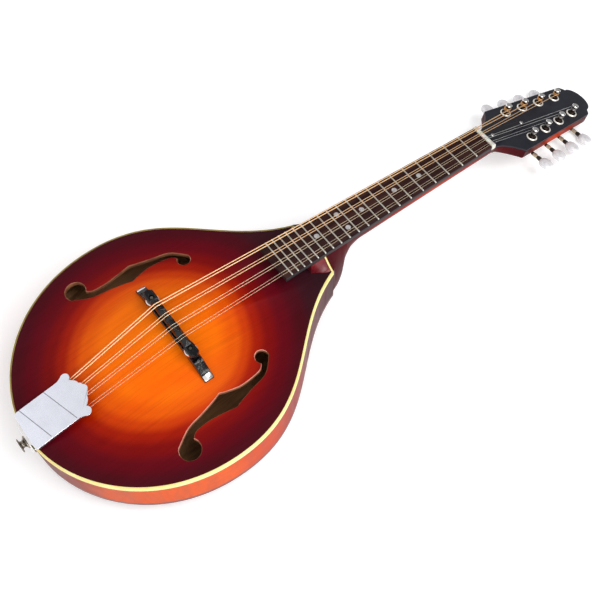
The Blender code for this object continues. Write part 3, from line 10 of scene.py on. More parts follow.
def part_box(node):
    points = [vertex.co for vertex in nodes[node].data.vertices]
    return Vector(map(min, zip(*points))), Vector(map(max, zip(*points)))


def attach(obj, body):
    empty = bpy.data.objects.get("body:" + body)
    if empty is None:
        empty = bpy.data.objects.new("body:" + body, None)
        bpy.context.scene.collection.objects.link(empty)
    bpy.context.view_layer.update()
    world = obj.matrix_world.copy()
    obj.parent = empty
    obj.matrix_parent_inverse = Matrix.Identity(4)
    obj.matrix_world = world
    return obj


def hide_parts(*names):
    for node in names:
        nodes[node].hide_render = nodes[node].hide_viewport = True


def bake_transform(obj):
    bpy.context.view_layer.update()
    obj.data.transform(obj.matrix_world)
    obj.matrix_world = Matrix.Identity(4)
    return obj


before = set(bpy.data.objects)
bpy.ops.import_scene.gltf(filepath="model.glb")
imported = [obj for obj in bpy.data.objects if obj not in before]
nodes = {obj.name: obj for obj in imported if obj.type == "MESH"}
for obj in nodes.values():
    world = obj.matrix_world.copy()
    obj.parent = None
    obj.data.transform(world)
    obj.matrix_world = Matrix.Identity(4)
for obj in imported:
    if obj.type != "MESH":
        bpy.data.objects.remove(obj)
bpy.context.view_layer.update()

# The instrument's own frame, in metres: X to the treble side, Y = 0 on the bridge line and growing
# towards the head, Z = 0 at the top of the rim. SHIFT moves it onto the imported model.
SCALE_LENGTH = 0.3524
RIM_TOP = 0.0058
SHIFT = Vector((0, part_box("fretboard")[1].y - SCALE_LENGTH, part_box("rib_bass")[1].z + RIM_TOP))
SIDES = (("bass", -1), ("treble", 1))

# Body
JOINT_Y = SCALE_LENGTH * 2 ** (-15 / 12)
BODY_HALF_WIDTH = 0.1207
BODY_WIDEST_Y = -0.0143
BODY_TAIL_Y = -0.1465
SHOULDER_HALF_WIDTH = 0.0309
SHOULDER_LEAN = math.radians(20.7)
TAIL_PULL = 0.0558
WAIST_PULL_DOWN = 0.0827
WAIST_PULL_UP = 0.0805
SHOULDER_PULL = 0.0711
OUTLINE_STEPS = 46
FRONT_STEPS = 12
RIM_DEPTH = 0.0440
RIB_THICKNESS = 0.0022
BINDING_THICKNESS = 0.0016
BINDING_HEIGHT = 0.0055
BACK_EDGE = 0.0040
CENTRE_Y = -0.0080
TOP_ARCH = 0.0150
BACK_ARCH = 0.0175
PLATE_THICKNESS = 0.0038
SEAT = 0.0003
PIN_Z = -0.0115
PIN_BORE = 0.0038

# Neck and head
NUT_Y = SCALE_LENGTH
NUT_LENGTH = 0.0045
NUT_HALF = 0.0140
NUT_CROWN = 0.00165
NUT_SLOT = 0.0005
NUT_PLAY = 0.0001
NUT_REST = 0.00115
NUT_EDGE = 0.0008
NUT_EDGE_DROP = 0.0004
NECK_ANGLE = math.radians(4.64)
BOARD_TOP = 0.0159
BOARD_THICKNESS = 0.0050
BOARD_END_Y = SCALE_LENGTH * 2 ** (-20 / 12) - 0.0070
BOARD_HALF_NUT, BOARD_HALF_END = 0.0139, 0.0206
FRETS = 20
FRET_HALF, FRET_FOOT, FRET_CROWN = 0.00072, 0.00058, 0.00096
# Frets with a dot before them, and the dots' places across the board
DOTS = ((5, (0,)), (7, (0,)), (10, (0,)), (12, (-1, 1)), (15, (0,)))
# Radius and height of the points of each kind of dot
FACE_DOT = [(0.0025, -0.0006), (0.0025, 0.00003), (0.0022, 0.00008), (0.0008, 0.0001)]
SIDE_DOT = [(0.0009, -0.0004), (0.0009, 0.00002), (0.0005, 0.00008)]
DOT_MARGIN = 0.0015
SIDE_DOT_SPREAD = 0.002
SIDE_DOT_DROP = 0.0022
# Ends of the frets stand this far in from the board's edge, and their feet this deep in it
FRET_INSET = 0.0001
FRET_ROOT = 0.0004
NECK_DEPTH_NUT, NECK_DEPTH_BODY = 0.0140, 0.0172
NECK_CORNER = 0.0004
HEEL_LENGTH = 0.0408
# Of the heel, from the joint on: how far its shelf and its taper run, and where its cut and its
# rounding start and how far they run
HEEL_SHELF = 0.0163
HEEL_TAPER = 0.0230
HEEL_CUT = (0.0168, 0.0240)
HEEL_ROUNDING = (0.0077, 0.0230)
# How square the section is: 2 is an ellipse
HEEL_POWER = 9.0
NECK_POWER = 2.3
RISER_LENGTH = 0.0150
RISER_LIP = 0.0006
RISER_FLARE = 0.0004
HEAD_ANGLE = math.radians(15.9)
HEAD_THICKNESS = 0.0120
OVERLAY = 0.0016
ROW_PITCH = 0.0230
ROW_X, ROW_START, ROW_LEAN = 0.0189, 0.0543, math.radians(5.04)
# Places along the head where its outline changes, the half widths there, and the length of its tip
THROAT, FLARE, CORNER, CROWN = 0.0090, 0.0348, 0.1400, 0.1452
THROAT_HALF, FLARE_HALF, CORNER_HALF, CROWN_HALF = 0.0122, 0.0302, 0.0223, 0.0158
TIP = 0.0100
TIP_HALF = 0.0004

# Tuners, seen from the head's face; N is the height along the head's normal
POST_RADIUS = 0.0024
POST_HOLE = 0.0007
POST_HOLE_N = 0.0079
TURNS_TOP_N = 0.0076
TURN_STEPS = 28
PLATE_TOP = -HEAD_THICKNESS - SEAT
PLATE_LOW = PLATE_TOP - 0.0010
GEAR_TEETH = 14
GEAR_TOP = PLATE_LOW - 0.0035
GEAR_HEIGHT = 0.0050
WORM_N = GEAR_TOP - GEAR_HEIGHT / 2
WORM_OFFSET = 0.0058
WORM_HALF = 0.0034
WORM_RADIUS = 0.00135
# Button: how far out its middle is, its half length, half width and half thickness
BUTTON_MIDDLE, BUTTON_REACH, BUTTON_HALF, BUTTON_THICK = 0.0247, 0.0073, 0.0066, 0.0037
POSTS = [(side, k) for side in (-1, 1) for k in range(4)]

# Bridge and tailpiece
BASE_TOP = 0.0200
BASE_HALF = 0.0540
BASE_THICK = 0.0045
# Radii, foot and half pitch of the studs' threads
THREAD_CREST = 0.00182
THREAD_ROOT = 0.00158
THREAD_LOW = -0.0036
THREAD_STEP = 0.00035
# Where the base starts to dip, where its thin feet start, and the height of these at both ends
DIP, FEET, FEET_TOP, FEET_END = 0.0380, 0.0500, 0.0128, 0.0093
STUD_X = 0.0295
WHEEL_SEAT = 0.0020
WHEEL_HEIGHT = 0.0030
WHEEL_RADIUS = 0.0058
WHEEL_CORNER = 0.0006
WHEEL_BORE = 0.0023
WHEEL_HUB = 0.0030
KNURL = 0.00022
SADDLE_LOW = BASE_TOP + WHEEL_SEAT + WHEEL_HEIGHT + SEAT
SADDLE_CREST = 0.0328
SADDLE_HALF = 0.0380
# Share of a step's length in which the crest changes places
SADDLE_STEP = 0.06
# Where the drop to the ends starts and how far it runs, and the same for the rounding of the ends
SADDLE_SHOULDER = (0.0235, 0.0035)
SADDLE_END = (0.0345, 0.0036)
SADDLE_END_TOP = 0.0295
# Half thickness in the middle and in the ends, and what the rounding takes from it
SADDLE_THICK = (0.0034, 0.0046)
SADDLE_END_LOSS = 0.0030
SADDLE_FLAT = 0.00045
SADDLE_CORNER = 0.0003
SADDLE_CREST_CORNER = 0.0002
SETBACK = (-0.0020, 0.0003, -0.0014, 0.0010)
LEAF_FRONT_Y = -0.1010
LEAF_FRONT_TOP = 0.0073
LEAF_THICKNESS = 0.0012
COVER_REAR_Y = -0.1452
COVER_BREAK_Y = -0.1350
COVER_APEX_Y = -0.0840
COVER_HALF = 0.0192
COVER_THICKNESS = 0.0010
ENGRAVING_HALF = 0.00034
ENGRAVINGS = (((-0.0200, -0.1160), (0.0180, -0.1049)), ((-0.0200, -0.1401), (0.0176, -0.1294)))

# Strings: radius of each course, then the step between courses and the half gap of a pair
COURSES = ("g", "d", "a", "e")
STRINGS = [(course, pair) for course in range(4) for pair in (-1, 1)]
STRING_RADIUS = (0.00050, 0.00032, 0.00020, 0.00014)
NUT_SPREAD = (0.0069, 0.00105)
SADDLE_SPREAD = (0.0125, 0.00135)
TAIL_SPREAD = (0.0095, 0.0012)
WIRE_SIDES = 10
WRAP_RADIUS = 0.00018
HOOK_RADIUS = 0.00055
# How high a string lies over the leaf at its hook
HOOK_REST = 0.0011
# Half width and half length of the loop round a hook
LOOP_HALF = (0.0011, 0.0014)
# Where the twisted end starts in front of the hook, and how far it runs
TWIST = (0.0012, 0.0075)
# Gap between turns on a post
TURN_GAP = 0.00008
# How far behind the nut a string bends down, and by how much
BEHIND_NUT = (0.0035, 0.0002)
# How far a piece's foot goes into what it stands on
SINK = 0.0001


def srgb(red, green, blue):
    """Linear colour of an 8-bit display colour."""
    out = []
    for value in (red, green, blue):
        value /= 255
        out.append(value / 12.92 if value <= 0.04045 else ((value + 0.055) / 1.055) ** 2.4)
    return (*out, 1.0)


def smooth(value):
    value = min(max(value, 0.0), 1.0)
    return value * value * (3 - 2 * value)


def between(low, high, share):
    return low + (high - low) * share


def at(x, y, z):
    return Matrix.Translation((x, y, z))


def spin(angle, axis):
    return Matrix.Rotation(angle, 4, axis)


def circle(steps, start=0.0, count=None):
    """Cosines and sines on a circle of so many steps: one round, or as many as count says."""
    angles = [start + 2 * math.pi * k / steps for k in range(count or steps)]
    return [(math.cos(a), math.sin(a)) for a in angles]


def board_top(y):
    return BOARD_TOP - (y - JOINT_Y) * math.tan(NECK_ANGLE)


def board_under(y):
    return board_top(y) - BOARD_THICKNESS


def board_half(y):
    return BOARD_HALF_NUT + (BOARD_HALF_END - BOARD_HALF_NUT) * (NUT_Y - y) / (NUT_Y - BOARD_END_Y)


HEAD = at(0, NUT_Y, board_under(NUT_Y) - 0.0005) @ spin(-HEAD_ANGLE, "X")


# ---- Material helpers

def fill_ramp(ramp, stops):
    """Set a colour ramp's stops, each a position with a colour or a grey."""
    while len(ramp.elements) < len(stops):
        ramp.elements.new(0.5)
    for element, (position, colour) in zip(ramp.elements, stops):
        colour = colour if isinstance(colour, tuple) else (colour,) * 3
        element.position = position
        element.color = (*colour[:3], 1.0)


class Look:
    """One node material, with short calls for the nodes that the finishes share."""

    def __init__(self, name, **values):
        self.material = bpy.data.materials.new(name)
        self.material.use_nodes = True
        self.tree = self.material.node_tree
        self.shader = self.tree.nodes["Principled BSDF"]
        for key, value in values.items():
            self.shader.inputs[key.replace("_", " ")].default_value = value

    def feed(self, socket, value):
        if isinstance(value, bpy.types.NodeSocket):
            self.tree.links.new(value, socket)
        else:
            socket.default_value = value

    def add(self, kind, inputs=None, **settings):
        node = self.tree.nodes.new(kind)
        for key, value in settings.items():
            setattr(node, key, value)
        for key, value in (inputs or {}).items():
            self.feed(node.inputs[key], value)
        return node

    def place(self, scale=1, move=(0, 0, 0), turn=(0, 0, 0)):
        """Coordinates in the instrument's frame, moved, turned and then scaled."""
        scale = scale if isinstance(scale, tuple) else (scale,) * 3
        source = self.add("ShaderNodeTexCoord").outputs["Object"]
        base = self.add("ShaderNodeVectorMath", {0: source, 1: tuple(-SHIFT)}, operation="ADD")
        inputs = {"Vector": base.outputs[0], "Location": move, "Rotation": turn}
        inputs = {0: self.add("ShaderNodeMapping", inputs).outputs[0], 1: scale}
        return self.add("ShaderNodeVectorMath", inputs, operation="MULTIPLY").outputs[0]

    def axis(self, index):
        return self.add("ShaderNodeSeparateXYZ", {0: self.place()}).outputs[index]

    def noise(self, where, detail=3.0, roughness=0.5, distortion=0.0, scale=1.0):
        """Noise over given coordinates, or over the instrument's frame scaled by one or three numbers."""
        where = where if isinstance(where, bpy.types.NodeSocket) else self.place(where)
        inputs = {"Vector": where, "Scale": scale, "Detail": detail}
        inputs.update({"Roughness": roughness, "Distortion": distortion})
        return self.add("ShaderNodeTexNoise", inputs).outputs["Fac"]

    def ramp(self, value, stops, mode="LINEAR"):
        node = self.add("ShaderNodeValToRGB", {"Fac": value})
        node.color_ramp.interpolation = mode
        fill_ramp(node.color_ramp, stops)
        return node.outputs["Color"]

    def pair(self, value, dark, light):
        """Two display colours that follow a noise."""
        return self.ramp(value, [(0.3, srgb(*dark)), (0.7, srgb(*light))])

    def grey(self, value, low, high, start=0.0, end=1.0):
        """Map a value between two greys."""
        inputs = {"Value": value, 1: start, 2: end, 3: low, 4: high}
        return self.add("ShaderNodeMapRange", inputs).outputs[0]

    def gloss(self, value, low, high):
        """Roughness that follows a noise."""
        return self.grey(value, low, high, 0.3, 0.7)

    def math(self, operation, a, b=0.0, clamp=False):
        return self.add("ShaderNodeMath", {0: a, 1: b}, operation=operation, use_clamp=clamp).outputs[0]

    def weigh(self, a, a_share, b, b_share):
        return self.math("ADD", self.math("MULTIPLY", a, a_share), self.math("MULTIPLY", b, b_share))

    def mix(self, share, a, b, mode="MIX"):
        node = self.add("ShaderNodeMix", {0: share, 6: a, 7: b}, data_type="RGBA", blend_type=mode)
        return node.outputs[2]

    def tint(self, colour, share, value, stops):
        """Multiply a colour by tints that follow a value."""
        return self.mix(share, colour, self.ramp(value, stops), "MULTIPLY")

    def bump(self, height, strength, distance, under=None):
        inputs = {"Height": height, "Strength": strength, "Distance": distance}
        if under is not None:
            inputs["Normal"] = under
        return self.add("ShaderNodeBump", inputs).outputs["Normal"]

    def finish(self, colour, rough=None, normal=None):
        """Feed the shader and hand over the material."""
        for key, value in (("Base Color", colour), ("Roughness", rough), ("Normal", normal)):
            if value is not None:
                self.feed(self.shader.inputs[key], value)
        return self.material


def oval_stain(look, halves, move, wander, stops):
    """Display colours by the distance from an oval's middle; the last stop is the reach."""
    reach = stops[-1][0]
    share = look.place((1 / halves[0], 1 / halves[1], 0), move)
    radius = look.add("ShaderNodeVectorMath", {0: share}, operation="LENGTH").outputs["Value"]
    radius = look.math("ADD", radius, look.grey(look.noise(9, 2.0), -wander, wander))
    colours = [(place / reach, srgb(*colour)) for place, colour in stops]
    return look.ramp(look.math("DIVIDE", radius, reach), colours, "EASE")


def long_stain(look, length, start, drift, wander, stops):
    """Display colours by the place along the neck's line."""
    spot = look.math("ADD", look.math("MULTIPLY", look.axis(1), 1 / length), start)
    spot = look.math("ADD", spot, look.grey(look.noise(drift, 2.0), -wander, wander))
    return look.ramp(spot, [(place, srgb(*colour)) for place, colour in stops], "EASE")


# ---- Materials

TOP_BURST = (
    (0.0, (236, 114, 2)),
    (0.62, (233, 106, 0)),
    (0.86, (213, 84, 0)),
    (0.98, (188, 57, 0)),
    (1.10, (150, 24, 0)),
    (1.24, (117, 7, 7)),
    (1.42, (91, 4, 18)),
    (1.62, (70, 9, 21)),
    (1.80, (54, 18, 27)),
    (2.05, (45, 21, 29)),
    (2.40, (40, 20, 28)),
)
BACK_BURST = (
    (0.0, (206, 92, 26)),
    (0.616, (196, 80, 22)),
    (0.924, (164, 50, 20)),
    (1.232, (112, 24, 20)),
    (1.54, (84, 18, 24)),
    (2.2, (56, 20, 26)),
)
RIM_STAIN = (
    (0.05, (90, 24, 18)),
    (0.10, (134, 42, 20)),
    (0.17, (192, 74, 14)),
    (0.40, (202, 78, 12)),
    (0.55, (184, 60, 14)),
    (0.70, (136, 34, 24)),
    (0.84, (86, 22, 28)),
    (0.98, (64, 21, 27)),
)
NECK_STAIN = (
    (0.07, (68, 20, 26)),
    (0.16, (80, 20, 25)),
    (0.28, (124, 32, 20)),
    (0.40, (150, 46, 20)),
    (0.50, (128, 32, 20)),
    (0.59, (76, 20, 22)),
    (0.67, (60, 14, 18)),
    (0.72, (100, 22, 8)),
    (0.78, (174, 50, 6)),
    (0.83, (134, 30, 8)),
    (0.90, (72, 14, 14)),
)


def top_look():
    """Satin sunburst over fine straight grain that runs along the neck."""
    look = Look("sunburst_spruce", Specular_IOR_Level=0.08)
    burst = oval_stain(look, (0.0705, 0.0765), (-0.0015, 0.0165, 0), 0.07, TOP_BURST)
    fibre = look.noise((1400, 26, 90), 3.0, 0.60)
    grain = look.weigh(fibre, 0.5, look.noise((640, 5.0, 30), 2.0), 0.5)
    colour = look.tint(burst, 0.75, grain, [(0.34, (0.84, 0.80, 0.76)), (0.5, 1), (0.66, (1.06, 1.06, 1.05))])
    patch = look.grey(look.noise((38, 16, 20)), 0.0, 0.30, 0.45, 0.75)
    colour = look.mix(patch, colour, srgb(150, 45, 8), "SOFT_LIGHT")
    skin = look.bump(look.noise(320, 2.0), 0.04, 0.0003)
    return look.finish(colour, look.gloss(fibre, 0.34, 0.46), look.bump(grain, 0.05, 0.0004, skin))


def rim_look():
    """Figured maple rim: burgundy at the neck and tail, orange in the wide of the body."""
    look = Look("rim_stain", Specular_IOR_Level=0.05)
    stain = long_stain(look, 0.32, 0.52, (30, 12, 30), 0.04, RIM_STAIN)
    curl = look.weigh(look.noise((10, 150, 24), 2.0, 0.5, 0.6), 0.8, look.noise((7, 22, 9), 2.0), 0.2)
    fibre = look.noise((700, 14, 240))
    colour = look.tint(stain, 0.75, curl, [(0.36, (0.82, 0.78, 0.74)), (0.52, 1), (0.68, (1.10, 1.10, 1.08))])
    colour = look.tint(colour, 0.6, fibre, [(0.35, (0.90, 0.88, 0.86)), (0.6, 1.03)])
    return look.finish(colour, look.gloss(curl, 0.30, 0.42), look.bump(fibre, 0.05, 0.0003))


def back_look():
    """Sunburst back in two halves of figured maple, browner and darker than the top."""
    look = Look("back_stain", Specular_IOR_Level=0.35)
    stain = oval_stain(look, (0.082, 0.092), (0, 0.012, 0), 0.08, BACK_BURST)
    curl = look.noise(look.place((150, 9, 20), turn=(0, 0, math.radians(82))), 2.0, 0.5, 0.7)
    fibre = look.noise((700, 12, 200))
    colour = look.tint(stain, 0.8, curl, [(0.34, (0.70, 0.64, 0.58)), (0.52, 1), (0.70, (1.16, 1.14, 1.10))])
    colour = look.tint(colour, 0.6, fibre, [(0.35, (0.88, 0.86, 0.84)), (0.6, 1.04)])
    seam = look.math("MULTIPLY", look.math("ABSOLUTE", look.axis(0)), 2600, clamp=True)
    colour = look.mix(look.grey(seam, 0.35, 0.0), colour, (0.02, 0.008, 0.006, 1))
    return look.finish(colour, look.gloss(curl, 0.30, 0.42), look.bump(fibre, 0.05, 0.0003))


def neck_look():
    """Red-brown stained neck, orange along its middle and on the sides of the head."""
    look = Look("neck_stain_fine", Specular_IOR_Level=0.04)
    stain = long_stain(look, 0.40, -0.30, (30, 14, 30), 0.03, NECK_STAIN)
    fibre = look.noise((420, 11, 420), 3.0, 0.55)
    curl = look.noise((14, 120, 14), 2.0)
    colour = look.tint(stain, 0.75, fibre, [(0.33, (0.80, 0.76, 0.72)), (0.5, 1), (0.68, (1.08, 1.08, 1.06))])
    colour = look.tint(colour, 0.5, curl, [(0.36, (0.88, 0.86, 0.84)), (0.6, 1.05)])
    return look.finish(colour, look.gloss(fibre, 0.32, 0.44), look.bump(fibre, 0.06, 0.0003))


def riser_look():
    """Burgundy stain on the block under the board."""
    look = Look("riser_stain", Specular_IOR_Level=0.45)
    fibre = look.noise((700, 14, 200))
    colour = look.pair(look.noise(60), (84, 14, 24), (116, 18, 28))
    colour = look.tint(colour, 0.7, fibre, [(0.35, (0.86, 0.84, 0.82)), (0.6, 1.04)])
    return look.finish(colour, look.gloss(fibre, 0.26, 0.38), look.bump(fibre, 0.05, 0.0003))


def raw_wood(name, dark, light, scale=(520, 12, 520)):
    """Bare wood with darker fibres."""
    look = Look(name, IOR=1.45)
    fibre = look.noise(scale, 4.0, 0.6)
    broad = look.noise((70, 5, 70), 2.0)
    colour = look.pair(fibre, dark, light)
    colour = look.tint(colour, 0.8, broad, [(0.3, (0.82, 0.80, 0.78)), (0.7, (1.08, 1.07, 1.05))])
    return look.finish(colour, look.gloss(fibre, 0.62, 0.80), look.bump(fibre, 0.18, 0.0004))


def cream_look(name, tints):
    """Cream celluloid with faint depth and ageing."""
    look = Look(name, Specular_IOR_Level=0.3, Subsurface_Weight=0.12, Subsurface_Scale=0.002)
    fine = look.noise(600, 2.0)
    colour = look.ramp(look.noise(45), [(0.3 + 0.25 * k, srgb(*tint)) for k, tint in enumerate(tints)])
    colour = look.tint(colour, 0.6, fine, [(0.35, (0.92, 0.90, 0.84)), (0.6, 1)])
    return look.finish(colour, look.gloss(fine, 0.24, 0.38), look.bump(fine, 0.05, 0.0002))


def rosewood_look():
    """Dark oiled rosewood with open pores along the board."""
    look = Look("rosewood_board", Specular_IOR_Level=0.07)
    flow = look.noise((230, 7, 60), 4.0, 0.6, 0.4)
    pores = look.noise((1500, 55, 400), 3.0, 0.65)
    colour = look.ramp(flow, [(0.30, srgb(30, 16, 17)), (0.50, srgb(45, 25, 24)), (0.72, srgb(66, 39, 34))])
    colour = look.tint(colour, 0.8, pores, [(0.34, (0.45, 0.42, 0.42)), (0.46, 1), (0.75, (1.12, 1.1, 1.1))])
    return look.finish(colour, look.gloss(pores, 0.58, 0.40), look.bump(pores, 0.25, 0.0004))


def board_side_look():
    """Blackened edge of the board."""
    look = Look("board_side_black", Specular_IOR_Level=0.30)
    fibre = look.noise((300, 14, 300))
    colour = look.pair(fibre, (24, 22, 24), (44, 40, 42))
    return look.finish(colour, look.gloss(fibre, 0.34, 0.50), look.bump(fibre, 0.12, 0.0003))


def metal(name, colour, rough, scratch=300, wear=0.06, bump=0.03, dark=0.85):
    """Plated metal with fine polishing marks and small changes of gloss."""
    look = Look(name, Metallic=1.0)
    marks = look.noise(scratch, 4.0, 0.6)
    cloud = look.noise(110)
    base = look.tint(srgb(*colour), 1.0, cloud, [(0.3, dark), (0.65, 1)])
    fine = look.gloss(marks, rough - wear / 2, rough + wear / 2)
    value = look.math("ADD", fine, look.grey(cloud, 0.0, wear))
    return look.finish(base, value, look.bump(marks, bump, 0.0002))


def black_look(name, rough, colour, level, relief=0.06, dent=0.0):
    """Black lacquer or plastic, faintly fibrous under the gloss and dented where the part is."""
    look = Look(name, Specular_IOR_Level=level)
    fibre = look.noise((420, 16, 160))
    cloud = look.noise(40)
    base = look.pair(cloud, [int(part * 0.75) for part in colour], colour)
    value = look.math("ADD", look.gloss(fibre, rough - 0.04, rough + 0.06), look.grey(cloud, 0.0, 0.06))
    normal = look.bump(look.noise(480, 2.0), dent, 0.0008, look.bump(fibre, relief, 0.0003))
    return look.finish(base, value, normal)


def pearl_look(name, tints, scale):
    """Pearl: soft patches of differing tint with a thin coloured sheen."""
    look = Look(name, IOR=1.53, Coat_Weight=0.8, Coat_Roughness=0.08, Sheen_Weight=0.15)
    where = look.place(scale)
    warp = look.noise(where, 2.0, scale=0.6)
    swirl = look.noise(where, 3.0, 0.55, 2.2)
    cells = look.add("ShaderNodeTexVoronoi", {"Vector": where, "Scale": 1.7}, feature="SMOOTH_F1")
    value = look.weigh(swirl, 0.7, cells.outputs["Distance"], 0.35)
    colour = look.ramp(value, [(place, srgb(*tint)) for place, tint in zip((0.25, 0.45, 0.62, 0.8), tints)])
    return look.finish(colour, look.gloss(warp, 0.16, 0.32))


def bone_look():
    """Polished bone with small flecks."""
    look = Look("bone_polished", IOR=1.54, Coat_Weight=0.2, Coat_Roughness=0.2,
                Subsurface_Weight=0.15, Subsurface_Scale=0.0015)
    fleck = look.noise((260, 1400, 900))
    tints = ((0.3, srgb(184, 180, 164)), (0.55, srgb(212, 211, 200)), (0.75, srgb(226, 226, 218)))
    return look.finish(look.ramp(fleck, tints), look.gloss(fleck, 0.42, 0.28), look.bump(fleck, 0.06, 0.0002))


def wound_look(name, colour, pitch):
    """Round-wound wire: ridges across the string and a little tarnish between them."""
    look = Look(name, Metallic=1.0)
    turn = look.math("MULTIPLY", look.axis(1), 2 * math.pi / pitch)
    ridge = look.grey(look.math("SINE", turn), 0.0, 1.0, -1.0, 1.0)
    base = look.tint(srgb(*colour), 1.0, ridge, [(0.0, (0.80, 0.76, 0.70)), (0.6, 1)])
    rough = look.gloss(look.noise((240, 60, 240)), 0.36, 0.48)
    return look.finish(base, rough, look.bump(ridge, 0.2, pitch / 4))


def floor_look():
    look = Look("paper_floor", Roughness=0.9, IOR=1.2, Emission_Strength=0.20, Emission_Color=(1, 1, 1, 1),
                Specular_IOR_Level=0.1)
    return look.finish(look.ramp(look.noise(30), [(0.3, 0.93), (0.7, 0.945)]))


TOP = top_look()
RIM = rim_look()
BACK = back_look()
NECK = neck_look()
RISER = riser_look()
SPRUCE = raw_wood("bare_spruce", (150, 108, 62), (196, 152, 98))
# Bare maple darkened as painted shade for the inside of the body
SHADED_MAPLE = raw_wood("bare_maple_painted_shade", (126, 82, 48), (160, 116, 74))
# Light pinkish wood for the f-holes' eased edges: a painted highlight
HOLE_HIGHLIGHT = raw_wood("hole_edge_painted_highlight", (186, 112, 96), (232, 170, 150), (400, 60, 400))
HOLE_EDGE = raw_wood("hole_edge_wood", (112, 66, 40), (158, 106, 72), (400, 60, 400))
CREAM = cream_look("cream_celluloid", ((226, 206, 128), (238, 225, 152), (232, 215, 141)))
# Darker cream for the top face of the binding on the bass side
CREAM_TOP = cream_look("cream_darkened_top", ((112, 92, 46), (150, 130, 70), (132, 112, 58)))
ROSEWOOD = rosewood_look()
BOARD_SIDE = board_side_look()
NICKEL = metal("nickel_plate", (236, 234, 232), 0.16)
BRIGHT = metal("nickel_cover", (238, 240, 250), 0.24, (60, 900, 60), 0.05, 0.02, 0.93)
ENGRAVED = metal("engraved_line", (176, 174, 184), 0.45)
FRET = metal("fret_wire", (224, 222, 212), 0.26, (900, 200, 200), 0.08)
BRASS = metal("polished_brass", (222, 178, 104), 0.20)
# Darker steel for the truss rod; also painted shade in the screw slots and the posts' string holes
ROD_STEEL_AND_SHADE = metal("rod_steel", (120, 120, 124), 0.42, wear=0.15)
FACE = black_look("head_face_black", 0.38, (31, 33, 42), 0.26)
EBONY = black_look("bridge_black", 0.10, (8, 8, 12), 0.42, 0.10, 0.55)
PLASTIC = black_look("cover_black", 0.30, (26, 27, 33), 0.35)
PEARL = pearl_look("button_pearl", ((184, 183, 187), (205, 204, 207), (223, 221, 223), (197, 196, 200)), 190)
DOT = pearl_look("dot_pearl", ((130, 128, 132), (160, 158, 160), (186, 184, 184), (146, 146, 152)), 420)
BONE = bone_look()
BRONZE_G = wound_look("bronze_winding_g", (252, 212, 166), 0.00042)
BRONZE_D = wound_look("bronze_winding_d", (252, 214, 170), 0.00030)
# Dark bronze; also painted shade in the hollow of each ferrule round its post
DARK_BRONZE_AND_SHADE = metal("dark_bronze_and_painted_shade", (58, 48, 42), 0.34, wear=0.12)
SATIN = metal("satin_nickel", (252, 247, 238), 0.42)
# Nickel with a dark, blotchy colour as painted dark reflections, for the studs and the strap button
PIN_DARK_REFLECTION = metal("pin_nickel_painted_reflection", (158, 150, 138), 0.16, 600, 0.10, 0.05, 0.30)
PLAIN_WIRE = metal("plain_wire_head", (214, 213, 212), 0.36, (500, 60, 500), 0.04, 0.0)
COLLAR = metal("worn_collar", (206, 190, 166), 0.42, wear=0.12)
# Plain steel wire tinted warm: a painted reflection of the sunburst top under it
STEEL_WARM_REFLECTION = metal("plain_wire_painted_warm_reflection", (236, 216, 184), 0.40, (500, 60, 500), 0.04, 0.0)
STEEL_TURNS = metal("wire_turns", (150, 146, 144), 0.24, 900, 0.10, 0.10)
BRONZE_TURNS = metal("bronze_turns", (224, 160, 96), 0.26, 900, 0.10, 0.10)


# ---- Mesh helpers
# A solid is (points, faces) or (points, faces, look index of each face).

BEVEL_ANGLE = math.radians(40)


def shade(mesh, crease):
    mesh.shade_smooth()
    mesh.set_sharp_from_angle(angle=math.radians(crease))


def piece(name, solid, looks, body="body", replaces=None, slot=None, crease=35.0, place=None, bevel=None):
    """Make a mesh piece from a solid in the instrument's frame, or in the frame that place gives."""
    place = Matrix.Identity(4) if place is None else place
    mesh = bpy.data.meshes.new(name)
    mesh.from_pydata([tuple(place @ Vector(p) + SHIFT) for p in solid[0]], [], solid[1])
    for look in looks if isinstance(looks, (list, tuple)) else [looks]:
        mesh.materials.append(look)
    if len(solid) > 2:
        mesh.polygons.foreach_set("material_index", solid[2])
    shape = bmesh.new()
    shape.from_mesh(mesh)
    bmesh.ops.recalc_face_normals(shape, faces=shape.faces)
    shape.to_mesh(mesh)
    shape.free()
    shade(mesh, crease)
    made = bpy.data.objects.new(name, mesh)
    bpy.context.scene.collection.objects.link(made)
    if bevel:
        step = made.modifiers.new("Bevel", "BEVEL")
        step.width, step.segments = bevel
        step.limit_method = "ANGLE"
        step.angle_limit = BEVEL_ANGLE
        step.harden_normals = True
    if body:
        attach(made, body)
    if replaces:
        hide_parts(replaces)
    return made


def merge(*solids):
    """Put several solids, each with its face looks or one look for all, into one."""
    points, faces, looks = [], [], []
    for solid in solids:
        start = len(points)
        points += [tuple(p) for p in solid[0]]
        faces += [tuple(start + k for k in face) for face in solid[1]]
        index = solid[2] if len(solid) > 2 else 0
        looks += list(index) if isinstance(index, (list, tuple)) else [index] * len(solid[1])
    return points, faces, looks


def shift(solid, place):
    return ([tuple(place @ Vector(p)) for p in solid[0]], *solid[1:])


def loft(rings, closed=True):
    """Skin rings of equal count and cap both ends."""
    count = len(rings[0])
    points = [p for ring in rings for p in ring]
    faces = [tuple(range(count))[::-1]] if closed else []
    for row in range(len(rings) - 1):
        for k in range(count):
            a, b = row * count + k, row * count + (k + 1) % count
            faces.append((a, b, b + count, a + count))
    last = (len(rings) - 1) * count
    if closed:
        faces.append(tuple(range(last, last + count)))
    return points, faces


def banded(solid, sides, first, rows, last):
    """Give a loft's caps and each row of its faces a look."""
    return (*solid, [first] + [look for look in rows for _ in range(sides)] + [last])


